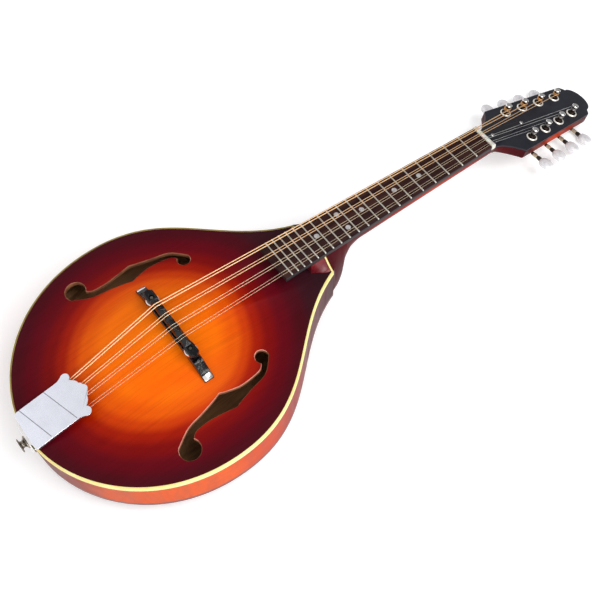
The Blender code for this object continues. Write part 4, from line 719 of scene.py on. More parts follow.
def hoop_solid(rings):
    """Skin rings that follow each other round a closed hoop."""
    count = len(rings[0])
    points = [p for ring in rings for p in ring]
    faces = []
    for row in range(len(rings)):
        after = (row + 1) % len(rings)
        for k in range(count):
            side = (k + 1) % count
            faces.append((row * count + k, row * count + side, after * count + side, after * count + k))
    return points, faces


def turned(profile, sides=32, start=0.0):
    """Turn (radius, height) pairs about Z."""
    return loft([[(r * c, r * s, height) for c, s in circle(sides, start)] for r, height in profile])


def turned_hoop(section_at, sides):
    """Turn a closed section of (radius, height) pairs, which may change on its way, about Z."""
    return hoop_solid([[(r * c, r * s, height) for r, height in section_at(k)]
                       for k, (c, s) in enumerate(circle(sides))])


def prism(outline, low, high):
    return loft([[(x, y, low) for x, y in outline], [(x, y, high) for x, y in outline]])


def tube(points, radius, sides=8):
    """A round tube along points, its rings square to the path."""
    points = [Vector(p) for p in points]
    rings = []
    normal = None
    for k, point in enumerate(points):
        before, after = points[max(k - 1, 0)], points[min(k + 1, len(points) - 1)]
        along = (after - before).normalized()
        if normal is None:
            normal = Vector((0, 0, 1)) if abs(along.z) < 0.9 else Vector((1, 0, 0))
        normal = (normal - along * normal.dot(along)).normalized()
        side = along.cross(normal)
        rings.append([tuple(point + radius * (c * normal + s * side)) for c, s in circle(sides)])
    return loft(rings)


def catmull(knots, steps):
    """Smooth curve through knots."""
    knots = [np.array(k, float) for k in knots]
    points = []
    for k in range(len(knots) - 1):
        before, after = knots[max(k - 1, 0)], knots[min(k + 2, len(knots) - 1)]
        a, b = knots[k], knots[k + 1]
        for step in range(steps):
            t = step / steps
            point = 2 * a + (b - before) * t + (2 * before - 5 * a + 4 * b - after) * t**2
            point = point + (3 * a - before - 3 * b + after) * t**3
            points.append(tuple(point / 2))
    points.append(tuple(knots[-1]))
    return points


def arc(x, y, radius, start, end, steps):
    angles = [math.radians(between(start, end, k / steps)) for k in range(steps + 1)]
    return [(x + radius * math.cos(a), y + radius * math.sin(a)) for a in angles]


def cut(target, solid, look, place=None, crease=35.0):
    """Exact Boolean cut; the walls that it leaves take the given look."""
    tool = piece("cutter", solid, look, body=None, place=place)
    step = target.modifiers.new("Cut", "BOOLEAN")
    step.operation = "DIFFERENCE"
    step.solver = "EXACT"
    step.material_mode = "TRANSFER"
    step.object = tool
    bpy.context.view_layer.update()
    graph = bpy.context.evaluated_depsgraph_get()
    mesh = bpy.data.meshes.new_from_object(target.evaluated_get(graph))
    old = target.data
    target.modifiers.clear()
    target.data = mesh
    bpy.data.meshes.remove(old)
    bpy.data.objects.remove(tool)
    shade(mesh, crease)


# ---- Body

def bezier(a, b, c, d, t):
    return (1 - t) ** 3 * a + 3 * t * (1 - t) ** 2 * b + 3 * t**2 * (1 - t) * c + t**3 * d


def half_outline():
    """Treble half of the body's outline, from the tail to the neck joint."""
    tail = np.array([0.0, BODY_TAIL_Y])
    wide = np.array([BODY_HALF_WIDTH, BODY_WIDEST_Y])
    shoulder = np.array([SHOULDER_HALF_WIDTH, JOINT_Y])
    lean = np.array([math.sin(SHOULDER_LEAN), -math.cos(SHOULDER_LEAN)])
    low = (tail, tail + [TAIL_PULL, 0], wide - [0, WAIST_PULL_DOWN], wide)
    high = (wide, wide + [0, WAIST_PULL_UP], shoulder + SHOULDER_PULL * lean, shoulder)
    shares = [k / OUTLINE_STEPS for k in range(OUTLINE_STEPS)]
    return [bezier(*low, share) for share in shares] + [bezier(*high, share) for share in shares + [1.0]]


def inset_side(distance):
    """The half outline moved inwards, still ending on the joint line."""
    points = half_outline()
    moved = []
    for k, point in enumerate(points):
        after = points[k + 1] if k + 1 < len(points) else point
        run = (after - points[k - 1]) if k else np.array([1.0, 0.0])
        run = run / np.hypot(*run)
        moved.append(point + distance * np.array([-run[1], run[0]]))
    run = moved[-1] - moved[-2]
    moved[-1] = moved[-1] + run * (JOINT_Y - moved[-1][1]) / run[1]
    return moved


def body_outline(distance, setback):
    """Whole outline moved inwards, its front edge set back from the joint line."""
    side = inset_side(distance)
    run = side[-1] - side[-2]
    side[-1] = side[-1] - run * setback / run[1]
    edge_x, edge_y = side[-1]
    right = [tuple(p) for p in side]
    front = [(edge_x * (1 - 2 * k / FRONT_STEPS), edge_y) for k in range(1, FRONT_STEPS)]
    return right + front + [(-x, y) for x, y in right[:0:-1]]


PLATE_EDGE = body_outline(BINDING_THICKNESS + SEAT / 3, BINDING_THICKNESS + SEAT / 3)
EDGE_OFFSETS = np.array(PLATE_EDGE) - [0.0, CENTRE_Y]
EDGE_ANGLES = np.unwrap(np.arctan2(EDGE_OFFSETS[:, 1], EDGE_OFFSETS[:, 0]))
EDGE_ANGLES = np.append(EDGE_ANGLES, EDGE_ANGLES[0] + 2 * math.pi)
EDGE_LENGTHS = np.hypot(EDGE_OFFSETS[:, 0], EDGE_OFFSETS[:, 1])
EDGE_LENGTHS = np.append(EDGE_LENGTHS, EDGE_LENGTHS[0])
# Shares of the way from the middle to the edge where the carved plates have a ring of points
PLATE_RINGS = (0.06, 0.14, 0.22, 0.30, 0.38, 0.45, 0.52, 0.58, 0.64, 0.70, 0.75, 0.79, 0.82, 0.85, 0.88, 0.91,
               0.95, 1.0)


def plate_share(x, y):
    """Distance from the plate's middle, as a share of the way to its edge."""
    angle = math.atan2(y - CENTRE_Y, x)
    while angle < EDGE_ANGLES[0]:
        angle += 2 * math.pi
    return math.hypot(x, y - CENTRE_Y) / float(np.interp(angle, EDGE_ANGLES, EDGE_LENGTHS))


def dome(share, reach):
    return 0.0 if share >= reach else (1 - (share / reach) ** 2) ** 2


def hollow(share, place, width):
    """Depth, from 0 to 1, of the shallow channel just inside a plate's edge."""
    return math.exp(-(((share - place) / width) ** 2))


def top_outside(share):
    return TOP_ARCH * dome(share, 0.84) - 0.0005 * hollow(share, 0.87, 0.055)


def top_inside(share):
    return -BINDING_HEIGHT + (TOP_ARCH - PLATE_THICKNESS + BINDING_HEIGHT) * dome(share, 0.93)


def back_outside(share):
    return -RIM_DEPTH - BACK_ARCH * dome(share, 0.90) + 0.0004 * hollow(share, 0.92, 0.045)


def back_inside(share):
    return -RIM_DEPTH + BACK_EDGE - (BACK_ARCH - PLATE_THICKNESS + BACK_EDGE) * dome(share, 0.93)


def top_height(x, y):
    return top_outside(plate_share(x, y))


def carved_plate(outline, outside, inside, inner_look):
    """Arched plate; its inner face takes the look with the given index."""
    points, faces = [], []
    count = len(outline)
    rims = []
    for face in (outside, inside):
        start = len(points)
        points.append((0.0, CENTRE_Y, face(0.0)))
        for share in PLATE_RINGS:
            points += [(share * x, between(CENTRE_Y, y, share), face(share)) for x, y in outline]
        rims.append(len(points) - count)
        for k in range(count):
            after = (k + 1) % count
            faces.append((start, start + 1 + k, start + 1 + after))
            for row in range(len(PLATE_RINGS) - 1):
                a = start + 1 + row * count
                faces.append((a + k, a + count + k, a + count + after, a + after))
    half = len(faces) // 2
    for k in range(count):
        after = (k + 1) % count
        faces.append((rims[0] + k, rims[0] + after, rims[1] + after, rims[1] + k))
    return points, faces, [0] * half + [inner_look] * half + [0] * count


def sound_hole(side):
    """Outline of one f-hole."""
    upper = arc(0.0600, 0.0485, 0.0060, 72, 322, 24)
    lower = arc(0.0915, -0.0455, 0.0093, -130, 128, 30)
    inner_high = catmull([upper[-1], (0.0695, 0.0390), (0.0716, 0.0200), (0.0688, 0.0048)], 7)
    inner_low = catmull([(0.0688, -0.0048), (0.0728, -0.0200), (0.0765, -0.0370), lower[0]], 7)
    outer_low = catmull([lower[-1], (0.0818, -0.0330), (0.0808, -0.0200), (0.0825, -0.0048)], 7)
    outer_high = catmull([(0.0825, 0.0108), (0.0785, 0.0250), (0.0740, 0.0420), upper[0]], 7)
    points = upper[:-1] + inner_high + [(0.0670, 0.0)] + inner_low + lower[1:-1]
    points = points + outer_low + [(0.0843, 0.0060)] + outer_high[:-1]
    return [(side * x, y) for x, y in points]


def hole_cutter(side):
    """Cutter for one f-hole that eases the edge of the outer face, with a painted highlight on that edge's
    inner side.
    """
    outline = sound_hole(side)
    wide, rim = [], []
    for k, (x, y) in enumerate(outline):
        before, after = Vector(outline[k - 1]), Vector(outline[(k + 1) % len(outline)])
        run = (after - before).normalized()
        normal = Vector((run.y, -run.x)) * (0.0005 if side > 0 else -0.0005)
        wide.append((x + normal.x, y + normal.y))
        # Faces of the eased edge on the inner side take the light wood look as a painted highlight
        rim.append(1 if side * normal.x < -0.00008 else 0)
    rings = [[(x, y, -0.022) for x, y in outline], [(x, y, top_height(x, y) - 0.0006) for x, y in outline],
             [(x, y, top_height(x, y) + 0.0001) for x, y in wide], [(x, y, 0.030) for x, y in wide]]
    points, faces = loft(rings)
    plain = [0] * (1 + len(outline))
    return points, faces, plain + rim + plain


def make_plates():
    top = piece("soundboard", carved_plate(PLATE_EDGE, top_outside, top_inside, 0), [TOP, HOLE_EDGE],
                replaces="top_plate", slot="sunburst_top", crease=50.0)
    for _, side in SIDES:
        cut(top, hole_cutter(side), [HOLE_EDGE, HOLE_HIGHLIGHT])
    back = carved_plate(body_outline(0.0, 0.0), back_outside, back_inside, 1)
    piece("carved_back", back, [BACK, SHADED_MAPLE], replaces="back_plate", slot="stained_maple", crease=50.0)


def make_ribs():
    outer, inner = inset_side(0.0), inset_side(RIB_THICKNESS)
    low, high = -RIM_DEPTH + BACK_EDGE + SEAT / 3, -BINDING_HEIGHT - SEAT / 3
    for name, side in SIDES:
        rings = []
        for a, b in zip(outer, inner):
            x_out, x_in = max(a[0], SEAT / 6), max(b[0], SEAT / 6)
            rings.append([(side * x_out, a[1], low), (side * x_out, a[1], high),
                          (side * x_in, b[1], high), (side * x_in, b[1], low)])
        looks = [0] + [0, 0, 1, 0] * (len(rings) - 1) + [0]
        rib = piece(f"rim_{name}", (*loft(rings), looks), [RIM, SHADED_MAPLE], replaces=f"rib_{name}",
                    slot="stained_maple", crease=40.0)
        tail = at(0, BODY_TAIL_Y, PIN_Z) @ spin(math.pi / 2, "X")
        cut(rib, turned([(PIN_BORE, -0.02), (PIN_BORE, 0.02)], 24, math.pi / 24), SHADED_MAPLE, tail)


def ramp_height(x, edge_x, edge_z, top_x, top_z):
    """Height of a hollow slope that climbs from an edge to a flat top."""
    if abs(x) <= top_x:
        return top_z
    return edge_z + (top_z - edge_z) * max((edge_x - abs(x)) / (edge_x - top_x), 0.0) ** 1.3


def make_binding():
    """Rounded cream strip round the top, climbing to the board at the neck."""
    outer, inner = inset_side(0.0), inset_side(BINDING_THICKNESS)
    run = inner[-1] - inner[-2]
    inner[-1] = inner[-1] - run * BINDING_THICKNESS / run[1]
    front_y = JOINT_Y - BINDING_THICKNESS
    stations = [(a[0], a[1], b[0], b[1], 0.0) for a, b in zip(outer, inner)]
    under, half = board_under(JOINT_Y) - SEAT, board_half(JOINT_Y)
    for k in range(1, 15):
        share = 1 - k / 14
        x = half + (outer[-1][0] - half) * share
        x_in = half + (inner[-1][0] - half) * share
        stations.append((x, JOINT_Y, x_in, front_y, ramp_height(x, outer[-1][0], 0.0, half, under)))
    mirrored = [(-a, b, -c, d, e) for a, b, c, d, e in stations[:0:-1]]
    rings = []
    ease, low = 0.00035, -BINDING_HEIGHT
    for x_out, y_out, x_in, y_in, top in stations + mirrored:
        ex, ey = (x_in - x_out) * 0.22, (y_in - y_out) * 0.22
        rings.append([(x_out, y_out, low), (x_out, y_out, top - ease), (x_out + ex, y_out + ey, top),
                      (x_in, y_in, top), (x_in, y_in, low)])
    # The top face is darker on the bass side
    looks = [look for ring in rings for look in (0, 0, 1 if ring[3][0] < 0 else 0, 0, 0)]
    piece("cream_edge", (*hoop_solid(rings), looks), [CREAM, CREAM_TOP], replaces="top_binding",
          slot="cream_binding", crease=50.0)


def make_riser():
    """Glued block under the board, hollowed towards its foot."""
    front_y = JOINT_Y - BINDING_THICKNESS - SEAT
    wide = SHOULDER_HALF_WIDTH - BINDING_THICKNESS - SEAT
    rings = []
    steps = 18
    for k in range(steps + 1):
        share = k / steps
        y = front_y - RISER_LENGTH * (1 - share)
        half = board_half(y)
        edge = between(half + RISER_FLARE, wide, smooth(share) ** 0.7)
        foot = top_height(0.0, y) - SINK
        top = board_under(y) - SEAT
        xs = [half + (edge - half) * (1 - s / 10) for s in range(11)]
        slope = [(x, y, ramp_height(x, edge, foot + RISER_LIP, half, top)) for x in xs]
        rings.append([(edge, y, foot)] + slope + [(-x, y, z) for x, _, z in slope[::-1]] + [(-edge, y, foot)])
    piece("riser_block", loft(rings), RISER, replaces="fretboard_riser", slot="sunburst_top", crease=45.0)


# ---- Fingerboard and nut

def fret_y(number):
    return SCALE_LENGTH * 2 ** (-number / 12)


def fret_wire(y0):
    """One crowned fret with eased ends."""
    half = board_half(y0) - FRET_INSET
    top = board_top(y0)
    ends = ((1.0, 0.30), (0.985, 0.72), (0.96, 1.0), (0.5, 1.0))
    rings = []
    for x, grow in [(-x, grow) for x, grow in ends] + [(0.0, 1.0)] + list(ends[::-1]):
        ring = []
        for k in range(9):
            angle = math.pi * k / 8
            y = y0 + FRET_HALF * math.cos(angle) * (0.82 + 0.18 * grow)
            ring.append((x * half, y, top + FRET_CROWN * grow * math.sin(angle) ** 0.8))
        ring += [(x * half, y, top - FRET_ROOT) for y in (y0 - FRET_FOOT, y0 + FRET_FOOT)]
        rings.append(ring)
    return loft(rings)


def make_board():
    rings = []
    ease = 0.0004
    for k in range(25):
        y = BOARD_END_Y + (NUT_Y - BOARD_END_Y) * k / 24
        half, top, low = board_half(y), board_top(y), board_under(y)
        rings.append([(-half, y, low), (half, y, low), (half, y, top - ease), (half - ease, y, top),
                      (-half + ease, y, top), (-half, y, top - ease)])
    looks = [1] + [1, 1, 0, 0, 0, 1] * (len(rings) - 1) + [1]
    piece("fingerboard", (*loft(rings), looks), [ROSEWOOD, BOARD_SIDE], replaces="fretboard",
          slot="rosewood", crease=50.0)
    frets = [fret_wire(fret_y(number)) for number in range(1, FRETS + 1)]
    piece("fret_wires", merge(*frets), FRET, slot="nickel", crease=50.0)
    face, edge = [], []
    for number, places in DOTS:
        for spot in places:
            y = (fret_y(number) + fret_y(number - 1)) / 2
            spread = 0.5 * (board_half(y) - DOT_MARGIN)
            place = at(spot * spread, y, board_top(y)) @ spin(-NECK_ANGLE, "X")
            face.append(shift(turned(FACE_DOT, 28), place))
            y += SIDE_DOT_SPREAD * spot
            place = at(-board_half(y), y, board_top(y) - SIDE_DOT_DROP) @ spin(-math.pi / 2, "Y")
            edge.append(shift(turned(SIDE_DOT, 16), place))
    piece("face_dots", merge(*face), DOT, slot="pearloid", crease=60.0)
    piece("side_dots", merge(*edge), CREAM, slot="pearloid", crease=60.0)


def across(course, pair, spread):
    return (course - 1.5) * spread[0] + pair * spread[1]


def nut_crest(x):
    """Height above the board of the nut's rounded top, with a slot for each string."""
    height = NUT_CROWN
    for course, pair in STRINGS:
        share = abs(x - across(course, pair, NUT_SPREAD)) / (STRING_RADIUS[course] + NUT_PLAY)
        if share < 1:
            height -= NUT_SLOT * math.sqrt(1 - share**2)
    return height


def make_nut():
    start, end = NUT_Y + SEAT / 2, NUT_Y + NUT_LENGTH + SEAT
    low = board_under(end) + NUT_PLAY
    base = board_top(NUT_Y)
    # Section over the top, as shares of the nut's length and of its crest
    section = ((1.0, -0.75), (0.93, 0.15), (0.75, 0.62), (0.5, 0.92), (0.25, 1.0), (0.06, 0.97), (0.0, 0.75))
    rings = []
    steps = 260
    for k in range(steps + 1):
        x = NUT_HALF * (2 * k / steps - 1)
        crest = nut_crest(x) - NUT_EDGE_DROP * smooth((abs(x) - NUT_HALF + NUT_EDGE) / NUT_EDGE)
        over = [(x, between(start, end, along), base + crest * up) for along, up in section]
        rings.append([(x, start, low), (x, end, low)] + over)
    piece("bone_nut", loft(rings), BONE, replaces="nut", slot="bone", crease=60.0)


# ---- Neck and head

def head_half(u):
    """Half width of the head at a distance from the nut."""
    if u <= THROAT:
        return between(BOARD_HALF_NUT, THROAT_HALF, smooth(u / THROAT))
    if u <= FLARE:
        return between(THROAT_HALF, FLARE_HALF, ((u - THROAT) / (FLARE - THROAT)) ** 1.75)
    if u <= CORNER:
        return between(FLARE_HALF, CORNER_HALF, (u - FLARE) / (CORNER - FLARE))
    if u <= CROWN:
        return between(CORNER_HALF, CROWN_HALF, ((u - CORNER) / (CROWN - CORNER)) ** 1.5)
    return CROWN_HALF * math.sqrt(max(1 - ((u - CROWN) / TIP) ** 2, 0.0)) + TIP_HALF


def head_stations(start):
    parts = [between(THROAT, FLARE, k / 22) for k in range(23)]
    parts += [between(FLARE, CORNER, k / 12) for k in range(1, 13)]
    parts += [between(CORNER, CROWN, k / 8) for k in range(1, 9)]
    parts += [CROWN + TIP * math.sin(math.pi / 2 * k / 14) for k in range(1, 15)]
    return [u for u in [start] + parts if u >= start]


def neck_ring(place, half, flat, top, edge, bottom, power, low_half=None):
    """Section of the neck: a flat top with a rounded, more or less square belly."""
    points = [(-flat, top), (flat, top)]
    low_half = half if low_half is None else low_half
    for k in range(27):
        angle = math.pi * k / 26
        c, s = math.cos(angle), math.sin(angle)
        drop = abs(s) ** (2 / power)
        x = between(half, low_half, smooth(2 * drop)) * math.copysign(abs(c) ** (2 / power), c)
        points.append((x, edge - (edge - bottom) * drop))
    return [tuple(place @ Vector((x, 0.0, z))) for x, z in points]


def heel_ring(y):
    """Section of the neck where it meets the body, and on towards the nut."""
    run = max(y - JOINT_Y - SEAT, 0.0)
    half = board_half(y)
    top = board_under(y) - SEAT / 2
    shelf = min(run / HEEL_SHELF, 1.0)
    wide = between(SHOULDER_HALF_WIDTH, half, 1 - (1 - shelf) ** 1.3)
    low_wide = between(SHOULDER_HALF_WIDTH, half, min(run / HEEL_TAPER, 1.0) ** 1.2)
    edge = between(0.0, top - NECK_CORNER, shelf**1.2)
    depth = between(NECK_DEPTH_NUT, NECK_DEPTH_BODY, (NUT_Y - y) / (NUT_Y - JOINT_Y))
    fade = min(max((run - HEEL_CUT[0]) / HEEL_CUT[1], 0.0), 1.0)
    bottom = between(top - depth, -RIM_DEPTH, (1 - fade) ** 1.6)
    power = between(HEEL_POWER, NECK_POWER, smooth((run - HEEL_ROUNDING[0]) / HEEL_ROUNDING[1]))
    return neck_ring(at(0, y, 0), wide, half - NECK_CORNER, top, edge, bottom, power, low_wide)


def make_neck():
    start = JOINT_Y + SEAT / 3
    heel_end = start + HEEL_LENGTH
    rings = [heel_ring(start + (heel_end - start) * k / 40) for k in range(41)]
    rings += [heel_ring(between(heel_end, NUT_Y, k / 16)) for k in range(1, 17)]
    # Under the end of the nut, and where the head's core starts
    nut_end = NUT_Y + NUT_LENGTH + 2 * SEAT
    core = -OVERLAY - SEAT / 3
    core_y = nut_end + 0.0001
    foot = HEAD.translation
    core_top = foot.z - (core_y - foot.y) * math.tan(HEAD_ANGLE) + core / math.cos(HEAD_ANGLE)
    top = board_under(nut_end) - SEAT
    low = top - NECK_DEPTH_NUT
    half = BOARD_HALF_NUT - NECK_CORNER
    for y, high in ((nut_end, top), (core_y, core_top)):
        rings.append(neck_ring(at(0, y, 0), half, half - NECK_CORNER, high, high - NECK_CORNER, low, 2.5))
    for u in head_stations(THROAT):
        half = head_half(u)
        power = between(3.0, 14.0, smooth((u - THROAT) / (FLARE - THROAT)))
        flat = max(half - NECK_CORNER, NECK_CORNER / 2)
        heights = (core, core - NECK_CORNER, -HEAD_THICKNESS)
        rings.append(neck_ring(HEAD @ at(0, u, 0), half, flat, *heights, power))
    piece("neck_shaft", loft(rings), NECK, replaces="neck", slot="neck_stain", crease=45.0)


def row_frame(side):
    """Frame of one row of posts, at the post nearest to the nut."""
    return HEAD @ at(side * ROW_X, ROW_START, 0) @ spin(side * ROW_LEAN, "Z")


def post_frame(side, k):
    return row_frame(side) @ at(0, k * ROW_PITCH, 0)


def make_head():
    right = [(head_half(u), u) for u in head_stations(0.0064)]
    outline = right + [(-x, u) for x, u in right[::-1]]
    piece("head_face", prism(outline, -OVERLAY, 0.0), FACE, replaces="headstock_overlay",
          slot="black_lacquer", crease=30.0, place=HEAD, bevel=(0.0003, 2))
    section = [(0.0056, 0.00002), (0.0056, 0.0003), (0.0052, 0.0008), (0.0047, 0.0011), (0.0042, 0.0009),
               (0.0039, 0.0004), (0.0035, 0.0004), (0.0033, 0.00002)]
    points, faces = turned_hoop(lambda k: section, 36)
    # The hollow of each ferrule round the post takes the dark look as painted shade
    looks = [0, 0, 0, 0, 1, 1, 1, 0] * 36
    rings = [shift((points, faces, looks), post_frame(*spot)) for spot in POSTS]
    piece("ferrules", merge(*rings), [SATIN, DARK_BRONZE_AND_SHADE], slot="nickel", crease=40.0)


def bell_outline():
    right = []
    for k in range(45):
        share = k / 44
        bell = (0.5 + 0.5 * math.cos(math.pi * share)) ** 1.2
        right.append((0.0030 + 0.0070 * bell, between(0.0075, 0.0600, share)))
    tip = [(0.0030 * math.cos(a), 0.0600 + 0.0016 * math.sin(a)) for a in (0.5, 1.0, math.pi / 2)]
    return right + tip + [(-x, u) for x, u in tip[1::-1]] + [(-x, u) for x, u in right[::-1]]


def screw_head(radius, height):
    shares = ((1, 0.0), (1, 0.25), (0.88, 0.62), (0.6, 0.9), (0.2, 1))
    return turned([(radius * out, height * up) for out, up in shares], 28)


def make_rod_cover():
    """Bell-shaped cover with two cross-head screws."""
    piece("bell_cover", prism(bell_outline(), SEAT / 3, SEAT / 3 + 0.0018), PLASTIC, crease=30.0,
          replaces="truss_rod_cover", slot="black_plastic", place=HEAD, bevel=(0.0004, 3))
    spots = [HEAD @ at(0, u, 0.0019) for u in (0.0150, 0.0570)]
    heads = [shift(screw_head(0.0017, 0.0008), spot) for spot in spots]
    screws = piece("cover_screws", merge(*heads), NICKEL, slot="nickel", crease=40.0)
    for spot in spots:
        for turn in (0.3, 0.3 + math.pi / 2):
            bar = spin(turn, "Z")
            outline = [tuple((bar @ Vector((x, y, 0)))[:2]) for x, y in
                       ((-0.0011, -0.00018), (0.0011, -0.00018), (0.0011, 0.00018), (-0.0011, 0.00018))]
            # The slot walls take the darker steel as painted shade
            cut(screws, prism(outline, 0.0004, 0.0012), ROD_STEEL_AND_SHADE, spot)


# ---- Tuners

def key_frame(side, k):
    """Frame of one key, its X outwards along the worm."""
    place = post_frame(side, k) @ at(0, WORM_OFFSET, WORM_N)
    return place @ spin(math.pi, "Z") if side < 0 else place


def key_shaft():
    """Worm and shaft along X, with a dark neck, a worn collar and a dark end."""
    profile = [(0.0012, -0.0056), (0.0012, -0.0038), (0.00125, -0.0036), (0.00125, 0.0036), (0.0012, 0.0038),
               (0.0012, 0.0058), (0.0018, 0.0059), (0.0018, 0.0080), (0.0019, 0.0082), (0.0021, 0.0098),
               (0.0020, 0.0124), (0.0016, 0.0128), (0.0016, 0.0136), (0.0021, 0.0139), (0.0021, 0.0170),
               (0.0016, 0.0182)]
    points, faces, looks = banded(turned(profile, 24), 24, 0, [0] * 5 + [1] * 2 + [2] * 4 + [1] * 4, 1)
    helix = [(between(-WORM_HALF, WORM_HALF, k / 96), WORM_RADIUS * c, WORM_RADIUS * s)
             for k, (c, s) in enumerate(circle(24, count=97))]
    return merge(([(z, y, -x) for x, y, z in points], faces, looks), (*tube(helix, 0.00034, 6), 0))


def key_button():
    """Flat oval button along X."""
    rings = []
    for t in range(25):
        a = math.pi * t / 24
        swell = max(math.sin(a), 0.0) ** 0.72
        ring = []
        for c, s in circle(36):
            y = BUTTON_HALF * swell * math.copysign(abs(c) ** 0.9, c)
            z = BUTTON_THICK * swell**0.8 * math.copysign(abs(s) ** 0.85, s)
            # The hair's breadth keeps the end rings open
            ring.append((BUTTON_MIDDLE - BUTTON_REACH * math.cos(a), y + 0.00001 * c, z + 0.00001 * s))
        rings.append(ring)
    return loft(rings)


def post_stem():
    """Post with a collar and a domed cap."""
    profile = [(0.0029, GEAR_TOP - GEAR_HEIGHT - 0.0008), (0.0029, 0.0016), (0.0028, 0.0020),
               (POST_RADIUS, 0.0024), (POST_RADIUS, 0.0086), (0.0027, 0.0089), (0.0032, 0.0091),
               (0.0033, 0.0095), (0.0032, 0.0102), (0.0027, 0.0106), (0.0012, 0.01065)]
    return banded(turned(profile, 32), 32, 0, [1] * 4 + [0] * 6, 0)


def gear_wheel():
    """Brass gear with the screw that holds it."""
    low = GEAR_TOP - GEAR_HEIGHT + 0.0004
    teeth = []
    for g in range(GEAR_TEETH):
        for share, radius in ((0.0, 0.0032), (0.2, 0.0032), (0.38, 0.0039), (0.62, 0.0039), (0.8, 0.0032)):
            angle = 2 * math.pi * (g + share) / GEAR_TEETH
            teeth.append((radius * math.cos(angle), radius * math.sin(angle)))
    screw = shift(turned([(0.0022, -0.0013), (0.0022, -0.0005), (0.0025, 0.0)], 20), at(0, 0, low))
    return merge((*prism(teeth, low, GEAR_TOP), 0), (*screw, 1))


def make_keys():
    shaft, button, stem, gear = key_shaft(), key_button(), post_stem(), gear_wheel()
    hole = turned([(POST_HOLE, -0.006), (POST_HOLE, 0.006)], 14)
    for number, spot in enumerate(POSTS, 1):
        key, post = key_frame(*spot), post_frame(*spot)
        piece(f"key_shaft_{number}", shaft, [NICKEL, DARK_BRONZE_AND_SHADE, COLLAR], body=f"key_{number}",
              slot="nickel", crease=40.0, place=key)
        piece(f"key_button_{number}", button, PEARL, body=f"key_{number}", replaces=f"tuner_key_{number}",
              slot="pearloid", crease=70.0, place=key)
        made = piece(f"post_stem_{number}", stem, [NICKEL, DARK_BRONZE_AND_SHADE], body=f"post_{number}",
                     replaces=f"string_post_{number}", slot="nickel", crease=40.0, place=post)
        # The string hole's walls take the darker steel as painted shade
        cut(made, hole, ROD_STEEL_AND_SHADE, post @ at(0, 0, POST_HOLE_N) @ spin(math.pi / 2, "X"))
        piece(f"gear_wheel_{number}", gear, [BRASS, NICKEL], body=f"post_{number}", slot="nickel",
              crease=30.0, place=post)


def make_tuner_plates():
    """Strip behind each row, with a pair of lugs for each worm and five screws."""
    lug_low = -GEAR_HEIGHT / 2 - 0.0004
    right = [(0.0030, PLATE_TOP - 0.0005 - WORM_N), (0.0030, -0.0006), (0.0026, -0.0018), (0.0017, lug_low),
             (0.0016, lug_low), (0.0016, 0.0004), (0.0011, 0.0013)]
    lug = right + [(0.0, 0.0016)] + [(-y, z) for y, z in right[::-1]]
    length = 3 * ROW_PITCH
    low_y, high_y = -0.0118, length + 0.0118 + WORM_OFFSET
    outline = []
    for x, y, start in ((0.0050, low_y + 0.0018, -90), (0.0050, high_y - 0.0018, 0),
                        (-0.0050, high_y - 0.0018, 90), (-0.0050, low_y + 0.0018, 180)):
        outline += arc(x, y, 0.0018, start, start + 90, 6)
    screws_y = [-0.0085] + [k * ROW_PITCH - 0.0115 + 0.0029 for k in range(1, 4)] + [length + 0.0145]
    for name, side in SIDES:
        place = row_frame(side)
        solids = [prism(outline, PLATE_LOW, PLATE_TOP)]
        for k in range(4):
            for pair in ((-0.0053, -0.0041), (0.0041, 0.0053)):
                solid = loft([[(x, y, z) for y, z in lug] for x in pair])
                solids.append(shift(solid, place.inverted() @ key_frame(side, k)))
        piece(f"tuner_strip_{name}", merge(*solids), [NICKEL], replaces=f"tuner_plate_{name}", slot="nickel",
              crease=30.0, place=place, bevel=(0.00022, 2))
        heads = [shift(screw_head(0.0017, 0.0009), place @ (at(0, y, PLATE_LOW) @ spin(math.pi, "X")))
                 for y in screws_y]
        piece(f"strip_screws_{name}", merge(*heads), NICKEL, slot="nickel", crease=40.0)


# ---- Bridge

def base_top(x):
    """Top of the bridge base: flat, then down a curve to thin feet."""
    x = abs(x)
    if x <= DIP:
        return BASE_TOP
    if x <= FEET:
        return between(BASE_TOP, FEET_TOP, smooth((x - DIP) / (FEET - DIP)))
    return between(FEET_TOP, FEET_END, (x - FEET) / (BASE_HALF - FEET))


def make_bridge():
    rings = []
    half, ease = BASE_THICK, 0.0005
    for x in [-BASE_HALF, -FEET] + [FEET * (k / 30 - 1) for k in range(1, 60)] + [FEET, BASE_HALF]:
        high = base_top(x)
        foot = [(x, y, top_height(x, y) + 0.00005) for y in (-half, -half / 2, 0.0, half / 2, half)]
        rings.append(foot + [(x, half, high - ease), (x, half - ease, high),
                             (x, -half + ease, high), (x, -half, high - ease)])
    # The top of each end is bright
    end, middle = [0, 0, 0, 0, 0, 0, 1, 0, 0], [0] * 9
    looks = [0] + end + middle * (len(rings) - 3) + end + [0]
    piece("bridge_foot", (*loft(rings), looks), [EBONY, NICKEL], replaces="bridge_base",
          slot="ebony_black", crease=38.0)
    thread = [(THREAD_CREST if k % 2 else THREAD_ROOT, THREAD_LOW + THREAD_STEP * k) for k in range(34)]
    stud = turned([(0.0018, -0.0040)] + thread + [(0.0014, 0.0085)], 24)
    wheel = turned_hoop(wheel_section, 72)
    for name, side in SIDES:
        piece(f"stud_{name}", stud, PIN_DARK_REFLECTION, replaces=f"bridge_stud_{name}", slot="brass", crease=50.0,
              place=at(side * STUD_X, 0, BASE_TOP))
        piece(f"wheel_{name}_fine", wheel, NICKEL, body=f"wheel_{name}", replaces=f"thumbwheel_{name}",
              slot="brass", crease=40.0, place=at(side * STUD_X, 0, BASE_TOP + WHEEL_SEAT))


